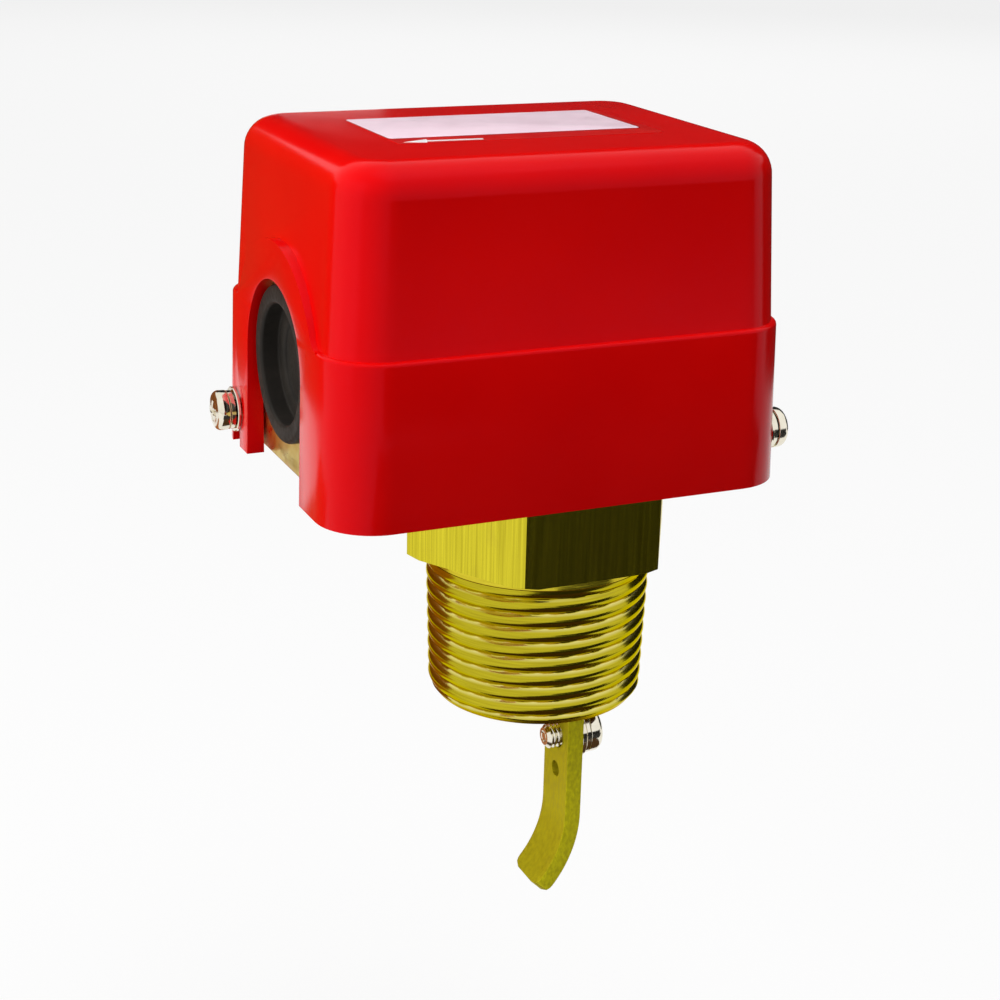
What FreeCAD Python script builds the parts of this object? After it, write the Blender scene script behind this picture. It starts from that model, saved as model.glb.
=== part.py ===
import FreeCAD, Part
import math
import os

# Paddle flow switch: a drafted housing cover over a bent chassis, on a brass
# hexagon body with an R1 taper-thread shank.  A lever hangs through the bore,
# sealed by a bellows, and works a snap switch under the cover.
#
# Frame: origin on the shank's axis at the hexagon's underside, +Z up,
# +X away from the cable entry, front of the housing at -Y.  Millimetres.

Vector = FreeCAD.Vector
X_AXIS = Vector(1, 0, 0)
Y_AXIS = Vector(0, 1, 0)
Z_AXIS = Vector(0, 0, 1)

# ---------------------------------------------------------------- fits
RUNNING_FIT = 0.05        # radial, pins and screws in their holes
SEAT_GAP = 0.15           # between a seated piece and its seat on another body
SHELL_GAP = 0.3           # chassis to cover, all round

# ---------------------------------------------------------------- brass body
THREAD_RADIUS = 16.62     # R1 (1 inch BSPT) major radius
THREAD_LENGTH = 22.9
THREAD_END_CHAMFER = 1.2
HEX_ACROSS_FLATS = 36.0
HEX_HEIGHT = 15.0
HEX_CORNER_CHAMFER = 0.9
BORE_RADIUS = 11.0
BELLOWS_SEAT_RADIUS = 12.4
BELLOWS_FLANGE_THICKNESS = 1.0

# ---------------------------------------------------------------- bellows
BELLOWS_OUTER_RADIUS = 7.4
BELLOWS_INNER_RADIUS = 5.4
BELLOWS_WALL = 0.3
BELLOWS_FOLDS = 8
BELLOWS_FOLD_PITCH = 2.5
BELLOWS_CAP_THICKNESS = 1.0

# ---------------------------------------------------------------- lever
PIVOT_HEIGHT = 6.5        # above the chassis underside
PIVOT_PIN_RADIUS = 1.5
ROD_RADIUS = 4.0
ROD_SHOULDER_ABOVE_PIVOT = 4.0
STUD_RADIUS = 2.5
STUD_LENGTH = 6.2
ROD_FOOT_TOP_Z = -11.0
ROD_FOOT_LENGTH = 14.0
ROD_FOOT_WIDTH = 8.0
ARM_SEAT_X = 4.3          # the arm's inner face, off the shank's axis
ARM_THICKNESS = 2.6
ARM_WIDTH = 8.0
ARM_STRAIGHT_LENGTH = 33.6
ARM_BEND_RADIUS = 18.8    # outside face of the curved tip
ARM_BEND_ANGLE = 45.0
ARM_TIP_CORNER = 1.6
ARM_TOP_GAP = 0.4         # arm's top end below the top of the rod's foot
RIVET_RADIUS = 1.25
RIVET_HEAD_RADIUS = 2.2
RIVET_HEAD_HEIGHT = 0.9
RIVET_SPACING = 7.0
PADDLE_SCREW_Z = -32.8
PADDLE_SCREW_TAIL = 2.2   # thread standing out past the arm
LOCATING_HOLE_RADIUS = 1.25
LOCATING_HOLE_SPACING = 5.9

LEVER_PLATE_THICKNESS = 1.2
LEVER_PLATE_WIDTH = 10.0
LEVER_PLATE_REACH = 15.0  # towards the cable entry, from the rod's axis
LEVER_TAB_LENGTH = 8.5
LEVER_TAB_PAST_PLUNGER = 1.9
LEVER_TAB_PAST_SPRING = 4.0
LEVER_TAB_CORNER = 1.5
NUT_ACROSS_FLATS = 8.0
NUT_HEIGHT = 4.0
NUT_CHAMFER = 0.35

# ---------------------------------------------------------------- chassis
CHASSIS_THICKNESS = 1.5
CHASSIS_BEND_RADIUS = 0.7
CHASSIS_CORNER_RELIEF = 4.5
CHASSIS_PLATE_CORNER = 2.0
END_FLANGE_INSET = 3.7    # from the plate's side edges
END_FLANGE_HEIGHT = 10.5
END_FLANGE_CORNER = 3.0
ENTRY_FLANGE_RADIUS = 14.6
TAPPED_COLLAR_WALL = 1.0
TAPPED_COLLAR_LENGTH = 1.4
BODY_SCREW_X = 14.2       # from the shank's axis
BODY_SCREW_Y = 4.5

# ---------------------------------------------------------------- cable entry
ENTRY_Z = 30.3
GROMMET_LIP_RADIUS = 10.8
GROMMET_NECK_RADIUS = 9.0
GROMMET_INNER_LIP_RADIUS = 10.2
GROMMET_INNER_LIP_THICKNESS = 1.6
GROMMET_LIP_THICKNESS = 1.6
GROMMET_RECESS_RADIUS = 8.2
GROMMET_RECESS_DEPTH = 2.7
GROMMET_STEP_RADIUS = 6.2
GROMMET_STEP_DEPTH = 0.5
GROMMET_MEMBRANE = 0.9
GROMMET_EDGE = 0.4
ENTRY_CLEARANCE = 0.8     # grommet lip to the cover's slot

# ---------------------------------------------------------------- cover
COVER_LENGTH = 66.0       # skirt, at the ledge
COVER_WIDTH = 51.0
COVER_OFFSET_X = -7.2     # centre of the cover from the shank's axis
COVER_RIM_DROP = 0.8      # rim hangs below the chassis underside
SKIRT_HEIGHT = 22.3
SKIRT_DRAFT = 0.5         # per side, over the skirt's height
LEDGE = 0.75
TOP_TAPER_X = 1.4         # per side, over the upper wall's height
TOP_TAPER_Y = 0.7
COVER_WALL = 2.0
COVER_CORNER = 7.8
COVER_INNER_CORNER = 4.0
COVER_TOP_FILLET = 4.5
COVER_TOP_INNER_FILLET = 2.6
LEDGE_FILLET = 0.5
ENTRY_BOSS_WALL = 5.4     # raised arch round the slot
TERMINAL_HEADROOM = 6.5   # wiring room above the terminal screws
LABEL_LENGTH = 38.4
LABEL_WIDTH = 21.3
LABEL_THICKNESS = 0.25
LABEL_RECESS = 0.15
LABEL_CENTRE_X = -6.9
LABEL_CENTRE_Y = 0.6
LABEL_CORNER = 1.0

# ---------------------------------------------------------------- screws
M3_RADIUS = 1.5
M3_HEAD_RADIUS = 2.9
M3_HEAD_HEIGHT = 2.0
M4_RADIUS = 2.0
M4_HEAD_RADIUS = 3.5
M4_HEAD_HEIGHT = 2.6
COVER_SCREW_RISE = 4.4    # above the chassis underside
COVER_SCREW_INSET = 8.5   # from the skirt's side, at the ledge
COVER_SCREW_WASHER_RADIUS = 3.25
COVER_SCREW_WASHER_THICKNESS = 0.5
COVER_SCREW_SPRING_RADIUS = 2.8
COVER_SCREW_SPRING_THICKNESS = 1.0
COVER_SCREW_TAIL = 2.0
COVER_NOTCH_SIDE_GAP = 0.2
PADDLE_WASHER_RADIUS = 4.0
PADDLE_WASHER_THICKNESS = 0.8
PADDLE_SPRING_RADIUS = 3.6
PADDLE_SPRING_THICKNESS = 1.0
SPRING_WASHER_SLIT = 0.6
BODY_SCREW_DEPTH = 7.0    # hole below the chassis
SCREW_END_GAP = 0.5       # screw's end short of a blind hole's bottom

# ---------------------------------------------------------------- pivot bracket
BRACKET_THICKNESS = 1.5
BRACKET_SIDE_MARGIN = 1.6 # base plate past the ears
BRACKET_HEAD_MARGIN = 0.1 # base plate past the screw heads
BRACKET_CORNER = 2.5
PIVOT_EAR_INNER_Y = 6.8
PIVOT_EAR_HALF_WIDTH = 4.0
PIVOT_CLIP_RADIUS = 3.0
PIVOT_CLIP_THICKNESS = 0.6
PIVOT_PIN_END = 0.9       # pin past each clip
ROD_SWING_ROOM = 2.0      # between rod and bracket hole

# ---------------------------------------------------------------- snap switch
SWITCH_LENGTH = 42.0
SWITCH_HEIGHT = 20.0
SWITCH_NUT_GAP = 1.6      # case's front to the lever nut
SWITCH_SIDE_MARGIN = 1.3  # bracket's back to the chassis edge
SWITCH_CENTRE_X = -7.0
SWITCH_ABOVE_LEVER = 2.6  # case underside above the lever plate
SWITCH_SCREW_SPACING = 25.4
SWITCH_SCREW_RISE = 7.0
SWITCH_END_CHAMFER = 2.0
PLUNGER_X = -9.0
PLUNGER_RADIUS = 2.0
PLUNGER_FREE_GAP = 0.25   # plunger to lever tab at rest
PLUNGER_TRAVEL = 1.0
PLUNGER_GUIDE_LENGTH = 5.0
PLUNGER_COLLAR_WALL = 1.4
PLUNGER_COLLAR_HEIGHT = 0.8
TERMINAL_COUNT = 3
TERMINAL_PITCH = 13.0
TERMINAL_WIDTH = 8.0
TERMINAL_INSET = 2.0      # plate inside the case, front and back
TERMINAL_THICKNESS = 1.0
TERMINAL_CORNER = 1.0
TERMINAL_SCREW_LENGTH = 5.0
BARRIER_THICKNESS = 1.6
BARRIER_HEIGHT = 3.4

# ---------------------------------------------------------------- switch bracket
SWITCH_BRACKET_THICKNESS = 1.3
SWITCH_BRACKET_HALF_LENGTH = 18.0
SWITCH_BRACKET_TOP_MARGIN = 5.5
SWITCH_BRACKET_CORNER = 3.0
FOOT_SCREW_END_MARGIN = 1.0  # screw head to the bracket's end
FOOT_CORNER = 2.0
FOOT_HEAD_GAP = 0.3       # screw head to wall and to foot's edge
FOOT_SCREW_END_GAP = 0.1  # tip short of the chassis underside

# ---------------------------------------------------------------- range adjuster
RANGE_X = -12.0
RANGE_SIDE_MARGIN = 1.4   # bracket's foot to the chassis edge
RANGE_AXIS_OFF_WALL = 5.1
RANGE_BRACKET_THICKNESS = 1.5
RANGE_BRACKET_HALF_WIDTH = 7.0
RANGE_BRACKET_REACH = 4.6 # top arm past the screw's axis
RANGE_BRACKET_CORNER = 3.0
RANGE_ARM_ABOVE_SEAT = 7.2
RANGE_HEAD_CLEAR = 4.2    # head above the bracket's arm
RANGE_SPRING_LENGTH = 10.6
RANGE_SPRING_RADIUS = 3.0 # to the middle of the wire
RANGE_SPRING_WIRE = 0.8
RANGE_SPRING_TURNS = 5.0
RANGE_SEAT_THICKNESS = 1.2
RANGE_PILOT_HEIGHT = 1.4
RANGE_PILOT_GAP = 0.25    # spring's inside to its pilots
RANGE_SCREW_TIP = 0.8
RANGE_HEAD_EDGE = 0.4
SCREWDRIVER_SLOT_WIDTH = 1.0
SCREWDRIVER_SLOT_DEPTH = 1.2

# ---------------------------------------------------------------- earth terminal
EARTH_X = -27.0
EARTH_Y = -9.0
EARTH_WASHER_RADIUS = 4.4
EARTH_WASHER_THICKNESS = 0.9

# ---------------------------------------------------------------- derived levels
CHASSIS_BOTTOM = HEX_HEIGHT
CHASSIS_TOP = CHASSIS_BOTTOM + CHASSIS_THICKNESS
BRACKET_TOP = CHASSIS_TOP + BRACKET_THICKNESS
PIVOT_Z = CHASSIS_BOTTOM + PIVOT_HEIGHT
SHOULDER_Z = PIVOT_Z + ROD_SHOULDER_ABOVE_PIVOT
LEVER_TOP = SHOULDER_Z + LEVER_PLATE_THICKNESS
SWITCH_BOTTOM = LEVER_TOP + SWITCH_ABOVE_LEVER
SWITCH_TOP = SWITCH_BOTTOM + SWITCH_HEIGHT
SWITCH_SCREW_Z = SWITCH_BOTTOM + SWITCH_SCREW_RISE
TERMINAL_TOP = SWITCH_TOP + TERMINAL_THICKNESS + M3_HEAD_HEIGHT
SEAT_BOTTOM = LEVER_TOP + RANGE_SPRING_LENGTH
SEAT_TOP = SEAT_BOTTOM + RANGE_SEAT_THICKNESS
RANGE_ARM_BOTTOM = SEAT_TOP + RANGE_ARM_ABOVE_SEAT
RANGE_ARM_TOP = RANGE_ARM_BOTTOM + RANGE_BRACKET_THICKNESS
COVER_BOTTOM = CHASSIS_BOTTOM - COVER_RIM_DROP
LEDGE_Z = COVER_BOTTOM + SKIRT_HEIGHT
COVER_TOP = TERMINAL_TOP + TERMINAL_HEADROOM + COVER_WALL
COVER_SCREW_Z = CHASSIS_BOTTOM + COVER_SCREW_RISE
M3_HOLE = M3_RADIUS + RUNNING_FIT
M4_HOLE = M4_RADIUS + RUNNING_FIT

# ---------------------------------------------------------------- derived plan sizes
INNER_LENGTH = COVER_LENGTH - 2 * COVER_WALL
INNER_WIDTH = COVER_WIDTH - 2 * COVER_WALL
CHASSIS_LENGTH = INNER_LENGTH - 2 * SHELL_GAP
CHASSIS_WIDTH = INNER_WIDTH - 2 * SHELL_GAP
END_FLANGE_HALF_WIDTH = CHASSIS_WIDTH / 2 - END_FLANGE_INSET
COVER_SCREW_Y = COVER_WIDTH / 2 - COVER_SCREW_INSET
SWITCH_FRONT_Y = NUT_ACROSS_FLATS / 2 + SWITCH_NUT_GAP
SWITCH_BACK_Y = CHASSIS_WIDTH / 2 - SWITCH_SIDE_MARGIN - SWITCH_BRACKET_THICKNESS
SWITCH_WIDTH = SWITCH_BACK_Y - SWITCH_FRONT_Y
SWITCH_MID_Y = (SWITCH_FRONT_Y + SWITCH_BACK_Y) / 2
TERMINAL_DEPTH = SWITCH_WIDTH - 2 * TERMINAL_INSET
FOOT_DEPTH = 2 * (M3_HEAD_RADIUS + FOOT_HEAD_GAP)     # bracket's foot in front of its wall
RANGE_BRACKET_UPRIGHT_Y = FOOT_DEPTH + RANGE_SIDE_MARGIN - CHASSIS_WIDTH / 2
RANGE_Y = RANGE_BRACKET_UPRIGHT_Y + RANGE_BRACKET_THICKNESS + RANGE_AXIS_OFF_WALL
LEVER_TAB_BACK_Y = SWITCH_MID_Y + LEVER_TAB_PAST_PLUNGER
LEVER_TAB_FRONT_Y = RANGE_Y - LEVER_TAB_PAST_SPRING
ENTRY_FACE_X = COVER_OFFSET_X - CHASSIS_LENGTH / 2    # outer face of the entry flange
FAR_FACE_X = COVER_OFFSET_X + CHASSIS_LENGTH / 2      # outer face of the far flange
SLOT_RADIUS = GROMMET_LIP_RADIUS + ENTRY_CLEARANCE
ENTRY_BOSS_RADIUS = SLOT_RADIUS + ENTRY_BOSS_WALL
COVER_END_X = COVER_LENGTH / 2                        # from the cover's own centre
ARM_OUTER_X = ARM_SEAT_X + ARM_THICKNESS
ARM_TOP_Z = ROD_FOOT_TOP_Z - ARM_TOP_GAP
ARM_BEND_START_Z = ARM_TOP_Z - ARM_STRAIGHT_LENGTH
PIVOT_EAR_OUTER_Y = PIVOT_EAR_INNER_Y + BRACKET_THICKNESS


# ================================================================ helpers
def box(x0, x1, y0, y1, z0, z1):
    return Part.makeBox(x1 - x0, y1 - y0, z1 - z0, Vector(x0, y0, z0))


def rod(radius, start, end):
    """Cylinder from one point to another."""
    along = end - start
    return Part.makeCylinder(radius, along.Length, start, along)


def upright(radius, x, y, z0, z1):
    """Cylinder along Z."""
    return rod(radius, Vector(x, y, z0), Vector(x, y, z1))


def joined(first, *others):
    """Union with the seams inside flat faces removed."""
    return first.fuse(list(others)).removeSplitter()


def less(first, *others):
    return first.cut(list(others))


def facing(shape, place, direction):
    """A shape built up its own Z, set down at a place with Z turned to a direction."""
    turned = shape.copy()
    turned.Placement = FreeCAD.Placement(place, FreeCAD.Rotation(Z_AXIS, direction))
    return turned


def polygon_prism(across_flats, z0, z1):
    """Hexagon with two flats facing +Y and -Y."""
    corner = across_flats / math.sqrt(3)
    points = [
        Vector(corner * math.cos(math.radians(60 * i)), corner * math.sin(math.radians(60 * i)), z0)
        for i in range(7)
    ]
    return Part.Face(Part.makePolygon(points)).extrude(Vector(0, 0, z1 - z0))


def drafted_block(centre_x, length, width, corner, lean_x, lean_y, z0, z1):
    """Block centred on Y with round corners; its flat walls lean in by the given amounts."""
    x0 = centre_x - length / 2
    x1 = centre_x + length / 2
    # a wedge narrows along its own Y, which is turned up to Z
    block = Part.makeWedge(
        x0, z0, -width / 2, lean_y - width / 2, x0 + lean_x,
        x1, z1, width / 2, width / 2 - lean_y, x1 - lean_x,
    )
    block.rotate(Vector(), X_AXIS, 90)
    corners = [e for e in block.Edges if e.BoundBox.ZLength > 0.9 * (z1 - z0)]
    return block.makeFillet(corner, corners)


def edges_at_height(shape, z):
    """Edges that lie wholly at one height."""
    near = 1e-4
    return [e for e in shape.Edges if abs(e.BoundBox.ZMin - z) < near and abs(e.BoundBox.ZMax - z) < near]


def edges_along(shape, axis, **at):
    """Straight edges along an axis, at the given coordinates of their middle."""
    found = []
    for edge in shape.Edges:
        if edge.Curve.TypeId != "Part::GeomLine":
            continue
        if abs(abs(edge.Curve.Direction.dot(axis)) - 1) > 1e-6:
            continue
        middle = edge.CenterOfMass
        if all(abs(getattr(middle, name) - value) < 1e-3 for name, value in at.items()):
            found.append(edge)
    return found


def revolved(outline):
    """Solid of revolution about Z from (radius, height) corners."""
    points = [Vector(r, 0, z) for r, z in outline]
    points.append(points[0])
    return Part.Face(Part.makePolygon(points)).revolve(Vector(0, 0, 0), Z_AXIS, 360)


def pan_screw(radius, length, head_radius, head_height):
    """Pan-head screw: seat at z 0, head above, plain shank below with a pointed lead."""
    head = Part.makeCylinder(head_radius, head_height)
    head = head.makeFillet(head_height * 0.45, edges_at_height(head, head_height))
    lead = radius * 0.3
    shank = revolved(
        [(0, 0), (radius, 0), (radius, lead - length), (radius - lead, -length), (0, -length)]
    )
    return joined(head, shank)


def ring(outer, inner, thickness):
    return less(Part.makeCylinder(outer, thickness), Part.makeCylinder(inner, thickness))


def split_ring(outer, inner, thickness, slit):
    gap = box(0, outer + 1, -slit / 2, slit / 2, -1, thickness + 1)
    return less(ring(outer, inner, thickness), gap)


def save(name, *shapes):
    solids = []
    for shape in shapes:
        solids.extend(shape.Solids)
    shape = solids[0] if len(solids) == 1 else Part.makeCompound(solids)
    shape.exportStep(os.path.join("parts", name + ".step"))


# ================================================================ cover
def cover_outside():
    skirt = drafted_block(
        COVER_OFFSET_X, COVER_LENGTH + 2 * SKIRT_DRAFT, COVER_WIDTH + 2 * SKIRT_DRAFT,
        COVER_CORNER, SKIRT_DRAFT, SKIRT_DRAFT, COVER_BOTTOM, LEDGE_Z,
    )
    skirt = skirt.makeFillet(LEDGE_FILLET, edges_at_height(skirt, LEDGE_Z))
    upper = drafted_block(
        COVER_OFFSET_X, COVER_LENGTH - 2 * LEDGE, COVER_WIDTH - 2 * LEDGE,
        COVER_CORNER - LEDGE, TOP_TAPER_X, TOP_TAPER_Y, LEDGE_Z - 1, COVER_TOP,
    )
    upper = upper.makeFillet(COVER_TOP_FILLET, edges_at_height(upper, COVER_TOP))
    end_x = COVER_OFFSET_X - COVER_END_X
    arch = rod(
        ENTRY_BOSS_RADIUS, Vector(end_x, 0, ENTRY_Z), Vector(end_x + 2 * COVER_WALL, 0, ENTRY_Z)
    )
    arch = arch.makeFillet(LEDGE_FILLET, [e for e in arch.Edges if e.BoundBox.XMax < end_x + 0.01])
    r = ENTRY_BOSS_RADIUS + 1
    below_ledge = box(end_x - 1, end_x + 3 * COVER_WALL, -r, r, ENTRY_Z - r, LEDGE_Z - LEDGE_FILLET)
    return joined(skirt, upper, less(arch, below_ledge))


def cover_inside():
    low = box(
        COVER_OFFSET_X - INNER_LENGTH / 2, COVER_OFFSET_X + INNER_LENGTH / 2,
        -INNER_WIDTH / 2, INNER_WIDTH / 2, COVER_BOTTOM - 1, LEDGE_Z - COVER_WALL / 2,
    )
    low = low.makeFillet(COVER_INNER_CORNER, edges_along(low, Z_AXIS))
    inset = LEDGE + COVER_WALL
    high = drafted_block(
        COVER_OFFSET_X, COVER_LENGTH - 2 * inset, COVER_WIDTH - 2 * inset, COVER_INNER_CORNER,
        TOP_TAPER_X, TOP_TAPER_Y, LEDGE_Z - COVER_WALL, COVER_TOP - COVER_WALL,
    )
    high = high.makeFillet(COVER_TOP_INNER_FILLET, edges_at_height(high, COVER_TOP - COVER_WALL))
    end_x = COVER_OFFSET_X - INNER_LENGTH / 2
    arch = rod(
        ENTRY_FLANGE_RADIUS + SHELL_GAP,
        Vector(end_x, 0, ENTRY_Z),
        Vector(end_x + 2 * COVER_WALL, 0, ENTRY_Z),
    )
    return low.fuse([high, arch])


def cover_slot():
    """Open-bottomed arch in the end wall that drops over the grommet."""
    x0 = COVER_OFFSET_X - COVER_END_X - SKIRT_DRAFT - 1
    x1 = COVER_OFFSET_X - INNER_LENGTH / 2 + 1
    arch = rod(SLOT_RADIUS, Vector(x0, 0, ENTRY_Z), Vector(x1, 0, ENTRY_Z))
    leg = box(x0, x1, -SLOT_RADIUS, SLOT_RADIUS, COVER_BOTTOM - 1, ENTRY_Z)
    return arch.fuse(leg)


def cover_notch(side):
    """Open-bottomed notch over a cover screw; side is -1 at the cable end, +1 at the far end."""
    y = -side * COVER_SCREW_Y
    radius = M3_RADIUS + COVER_NOTCH_SIDE_GAP
    x0 = COVER_OFFSET_X + side * (COVER_END_X + SKIRT_DRAFT + 1)
    x1 = COVER_OFFSET_X + side * (INNER_LENGTH / 2 - 1)
    arch = rod(radius, Vector(x0, y, COVER_SCREW_Z), Vector(x1, y, COVER_SCREW_Z))
    leg = box(min(x0, x1), max(x0, x1), y - radius, y + radius, COVER_BOTTOM - 1, COVER_SCREW_Z)
    return arch.fuse(leg)


def label_box(z0, z1, clearance=0.0):
    a = LABEL_LENGTH / 2 + clearance
    b = LABEL_WIDTH / 2 + clearance
    return box(
        LABEL_CENTRE_X - a, LABEL_CENTRE_X + a, LABEL_CENTRE_Y - b, LABEL_CENTRE_Y + b, z0, z1
    )


def make_cover():
    recess = label_box(COVER_TOP - LABEL_RECESS, COVER_TOP + 1, RUNNING_FIT)
    cover = less(
        cover_outside(), cover_inside(), cover_slot(), cover_notch(-1), cover_notch(1), recess
    )
    save("cover", cover)
    floor = COVER_TOP - LABEL_RECESS
    label = label_box(floor, floor + LABEL_THICKNESS)
    save("rating_label", label.makeFillet(LABEL_CORNER, edges_along(label, Z_AXIS)))


# ================================================================ chassis
def tapped_collar(place, direction, hole_radius):
    collar = Part.makeCylinder(hole_radius + TAPPED_COLLAR_WALL, TAPPED_COLLAR_LENGTH)
    return facing(collar, place, direction)


def make_chassis():
    half_width = CHASSIS_WIDTH / 2
    relief = CHASSIS_CORNER_RELIEF
    plate = box(
        ENTRY_FACE_X + relief, FAR_FACE_X - relief, -half_width, half_width,
        CHASSIS_BOTTOM, CHASSIS_TOP,
    )
    plate = plate.makeFillet(CHASSIS_PLATE_CORNER, edges_along(plate, Z_AXIS))
    w = END_FLANGE_HALF_WIDTH
    inner_entry_x = ENTRY_FACE_X + CHASSIS_THICKNESS
    inner_far_x = FAR_FACE_X - CHASSIS_THICKNESS
    flange_top = CHASSIS_BOTTOM + END_FLANGE_HEIGHT
    channel = box(ENTRY_FACE_X, FAR_FACE_X, -w, w, CHASSIS_BOTTOM, flange_top)
    channel = channel.makeFillet(END_FLANGE_CORNER, edges_along(channel, X_AXIS, z=flange_top))
    channel = less(channel, box(inner_entry_x, inner_far_x, -w, w, CHASSIS_TOP, flange_top))
    bend = CHASSIS_BEND_RADIUS + CHASSIS_THICKNESS
    outer_edges = edges_along(channel, Y_AXIS, x=ENTRY_FACE_X, z=CHASSIS_BOTTOM)
    outer_edges += edges_along(channel, Y_AXIS, x=FAR_FACE_X, z=CHASSIS_BOTTOM)
    channel = channel.makeFillet(bend, outer_edges)
    inner_edges = edges_along(channel, Y_AXIS, x=inner_entry_x, z=CHASSIS_TOP)
    inner_edges += edges_along(channel, Y_AXIS, x=inner_far_x, z=CHASSIS_TOP)
    channel = channel.makeFillet(CHASSIS_BEND_RADIUS, inner_edges)
    r = ENTRY_FLANGE_RADIUS
    tongue = rod(r, Vector(ENTRY_FACE_X, 0, ENTRY_Z), Vector(inner_entry_x, 0, ENTRY_Z))
    tongue_leg = box(ENTRY_FACE_X, inner_entry_x, -r, r, CHASSIS_TOP + 1, ENTRY_Z)
    entry_screw = Vector(ENTRY_FACE_X, COVER_SCREW_Y, COVER_SCREW_Z)
    far_screw = Vector(FAR_FACE_X, -COVER_SCREW_Y, COVER_SCREW_Z)
    metal = joined(
        channel, plate, tongue, tongue_leg,
        tapped_collar(entry_screw + X_AXIS * CHASSIS_THICKNESS, X_AXIS, M3_HOLE),
        tapped_collar(far_screw - X_AXIS * CHASSIS_THICKNESS, -X_AXIS, M3_HOLE),
    )
    reach = CHASSIS_THICKNESS + TAPPED_COLLAR_LENGTH + 1
    holes = [
        rod(M3_HOLE, entry_screw - X_AXIS, entry_screw + X_AXIS * reach),
        rod(M3_HOLE, far_screw + X_AXIS, far_screw - X_AXIS * reach),
        rod(
            GROMMET_NECK_RADIUS + RUNNING_FIT,
            Vector(ENTRY_FACE_X - 1, 0, ENTRY_Z),
            Vector(inner_entry_x + 1, 0, ENTRY_Z),
        ),
        upright(ROD_RADIUS + ROD_SWING_ROOM, 0, 0, CHASSIS_BOTTOM - 1, CHASSIS_TOP + 1),
        upright(M4_HOLE, EARTH_X, EARTH_Y, CHASSIS_BOTTOM - 1, CHASSIS_TOP + 1),
    ]
    for x, y in body_screw_places() + switch_foot_places() + range_foot_places():
        holes.append(upright(M3_HOLE, x, y, CHASSIS_BOTTOM - 1, CHASSIS_TOP + 1))
    save("chassis", less(metal, *holes))


def body_screw_places():
    x = BODY_SCREW_X
    y = BODY_SCREW_Y
    return [(x, y), (-x, y), (-x, -y), (x, -y)]


def switch_foot_places():
    y = SWITCH_BACK_Y - FOOT_HEAD_GAP - M3_HEAD_RADIUS
    reach = SWITCH_BRACKET_HALF_LENGTH - M3_HEAD_RADIUS - FOOT_SCREW_END_MARGIN
    return [(SWITCH_CENTRE_X - reach, y), (SWITCH_CENTRE_X + reach, y)]


def foot_screw_length(grip):
    """A screw through what it holds and the chassis plate, ending just inside it."""
    return grip + CHASSIS_THICKNESS - FOOT_SCREW_END_GAP


def range_foot_places():
    y = RANGE_BRACKET_UPRIGHT_Y - FOOT_HEAD_GAP - M3_HEAD_RADIUS
    reach = RANGE_BRACKET_HALF_WIDTH - M3_HEAD_RADIUS - FOOT_HEAD_GAP
    return [(RANGE_X - reach, y), (RANGE_X + reach, y)]


# ================================================================ cable grommet
def make_grommet():
    """Blind rubber grommet; built with its outer face up, then turned to face -X."""
    outer_face = GROMMET_LIP_THICKNESS
    neck_end = -CHASSIS_THICKNESS
    inner_end = neck_end - GROMMET_INNER_LIP_THICKNESS
    floor = outer_face - GROMMET_RECESS_DEPTH
    lip = GROMMET_LIP_RADIUS
    edge = GROMMET_EDGE
    outline = [
        (0, floor - GROMMET_STEP_DEPTH),
        (GROMMET_STEP_RADIUS, floor - GROMMET_STEP_DEPTH),
        (GROMMET_STEP_RADIUS, floor),
        (GROMMET_RECESS_RADIUS, floor),
        (GROMMET_RECESS_RADIUS, outer_face),
        (lip - edge, outer_face),
        (lip, outer_face - edge),
        (lip, 0),
        (GROMMET_NECK_RADIUS, 0),
        (GROMMET_NECK_RADIUS, neck_end),
        (GROMMET_INNER_LIP_RADIUS, neck_end),
        (GROMMET_INNER_LIP_RADIUS - edge, inner_end),
        (GROMMET_RECESS_RADIUS, inner_end),
        (GROMMET_RECESS_RADIUS - edge, floor - GROMMET_STEP_DEPTH - GROMMET_MEMBRANE),
        (0, floor - GROMMET_STEP_DEPTH - GROMMET_MEMBRANE),
    ]
    grommet = facing(revolved(outline), Vector(ENTRY_FACE_X, 0, ENTRY_Z), -X_AXIS)
    save("cable_grommet", grommet)


# ================================================================ cover screws
def make_cover_screws():
    at_screw = SKIRT_DRAFT * (SKIRT_HEIGHT - COVER_SCREW_RISE - COVER_RIM_DROP) / SKIRT_HEIGHT
    lean = SKIRT_DRAFT * COVER_SCREW_WASHER_RADIUS / SKIRT_HEIGHT
    face = COVER_END_X + at_screw + lean + SEAT_GAP / 2
    flats = []
    springs = []
    screws = []
    for side in (-1, 1):
        out = X_AXIS * side
        seat = Vector(COVER_OFFSET_X + side * face, -side * COVER_SCREW_Y, COVER_SCREW_Z)
        on_flat = seat + out * COVER_SCREW_WASHER_THICKNESS
        on_spring = on_flat + out * COVER_SCREW_SPRING_THICKNESS
        flats.append(
            facing(ring(COVER_SCREW_WASHER_RADIUS, M3_HOLE, COVER_SCREW_WASHER_THICKNESS), seat, out)
        )
        springs.append(facing(
            split_ring(
                COVER_SCREW_SPRING_RADIUS, M3_HOLE, COVER_SCREW_SPRING_THICKNESS, SPRING_WASHER_SLIT
            ),
            on_flat, out,
        ))
        far_end = CHASSIS_LENGTH / 2 - CHASSIS_THICKNESS - TAPPED_COLLAR_LENGTH - COVER_SCREW_TAIL
        length = face + COVER_SCREW_WASHER_THICKNESS + COVER_SCREW_SPRING_THICKNESS - far_end
        screws.append(
            facing(pan_screw(M3_RADIUS, length, M3_HEAD_RADIUS, M3_HEAD_HEIGHT), on_spring, out)
        )
    save("cover_screw_flat_washers", *flats)
    save("cover_screw_spring_washers", *springs)
    save("cover_screws", *screws)


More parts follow.
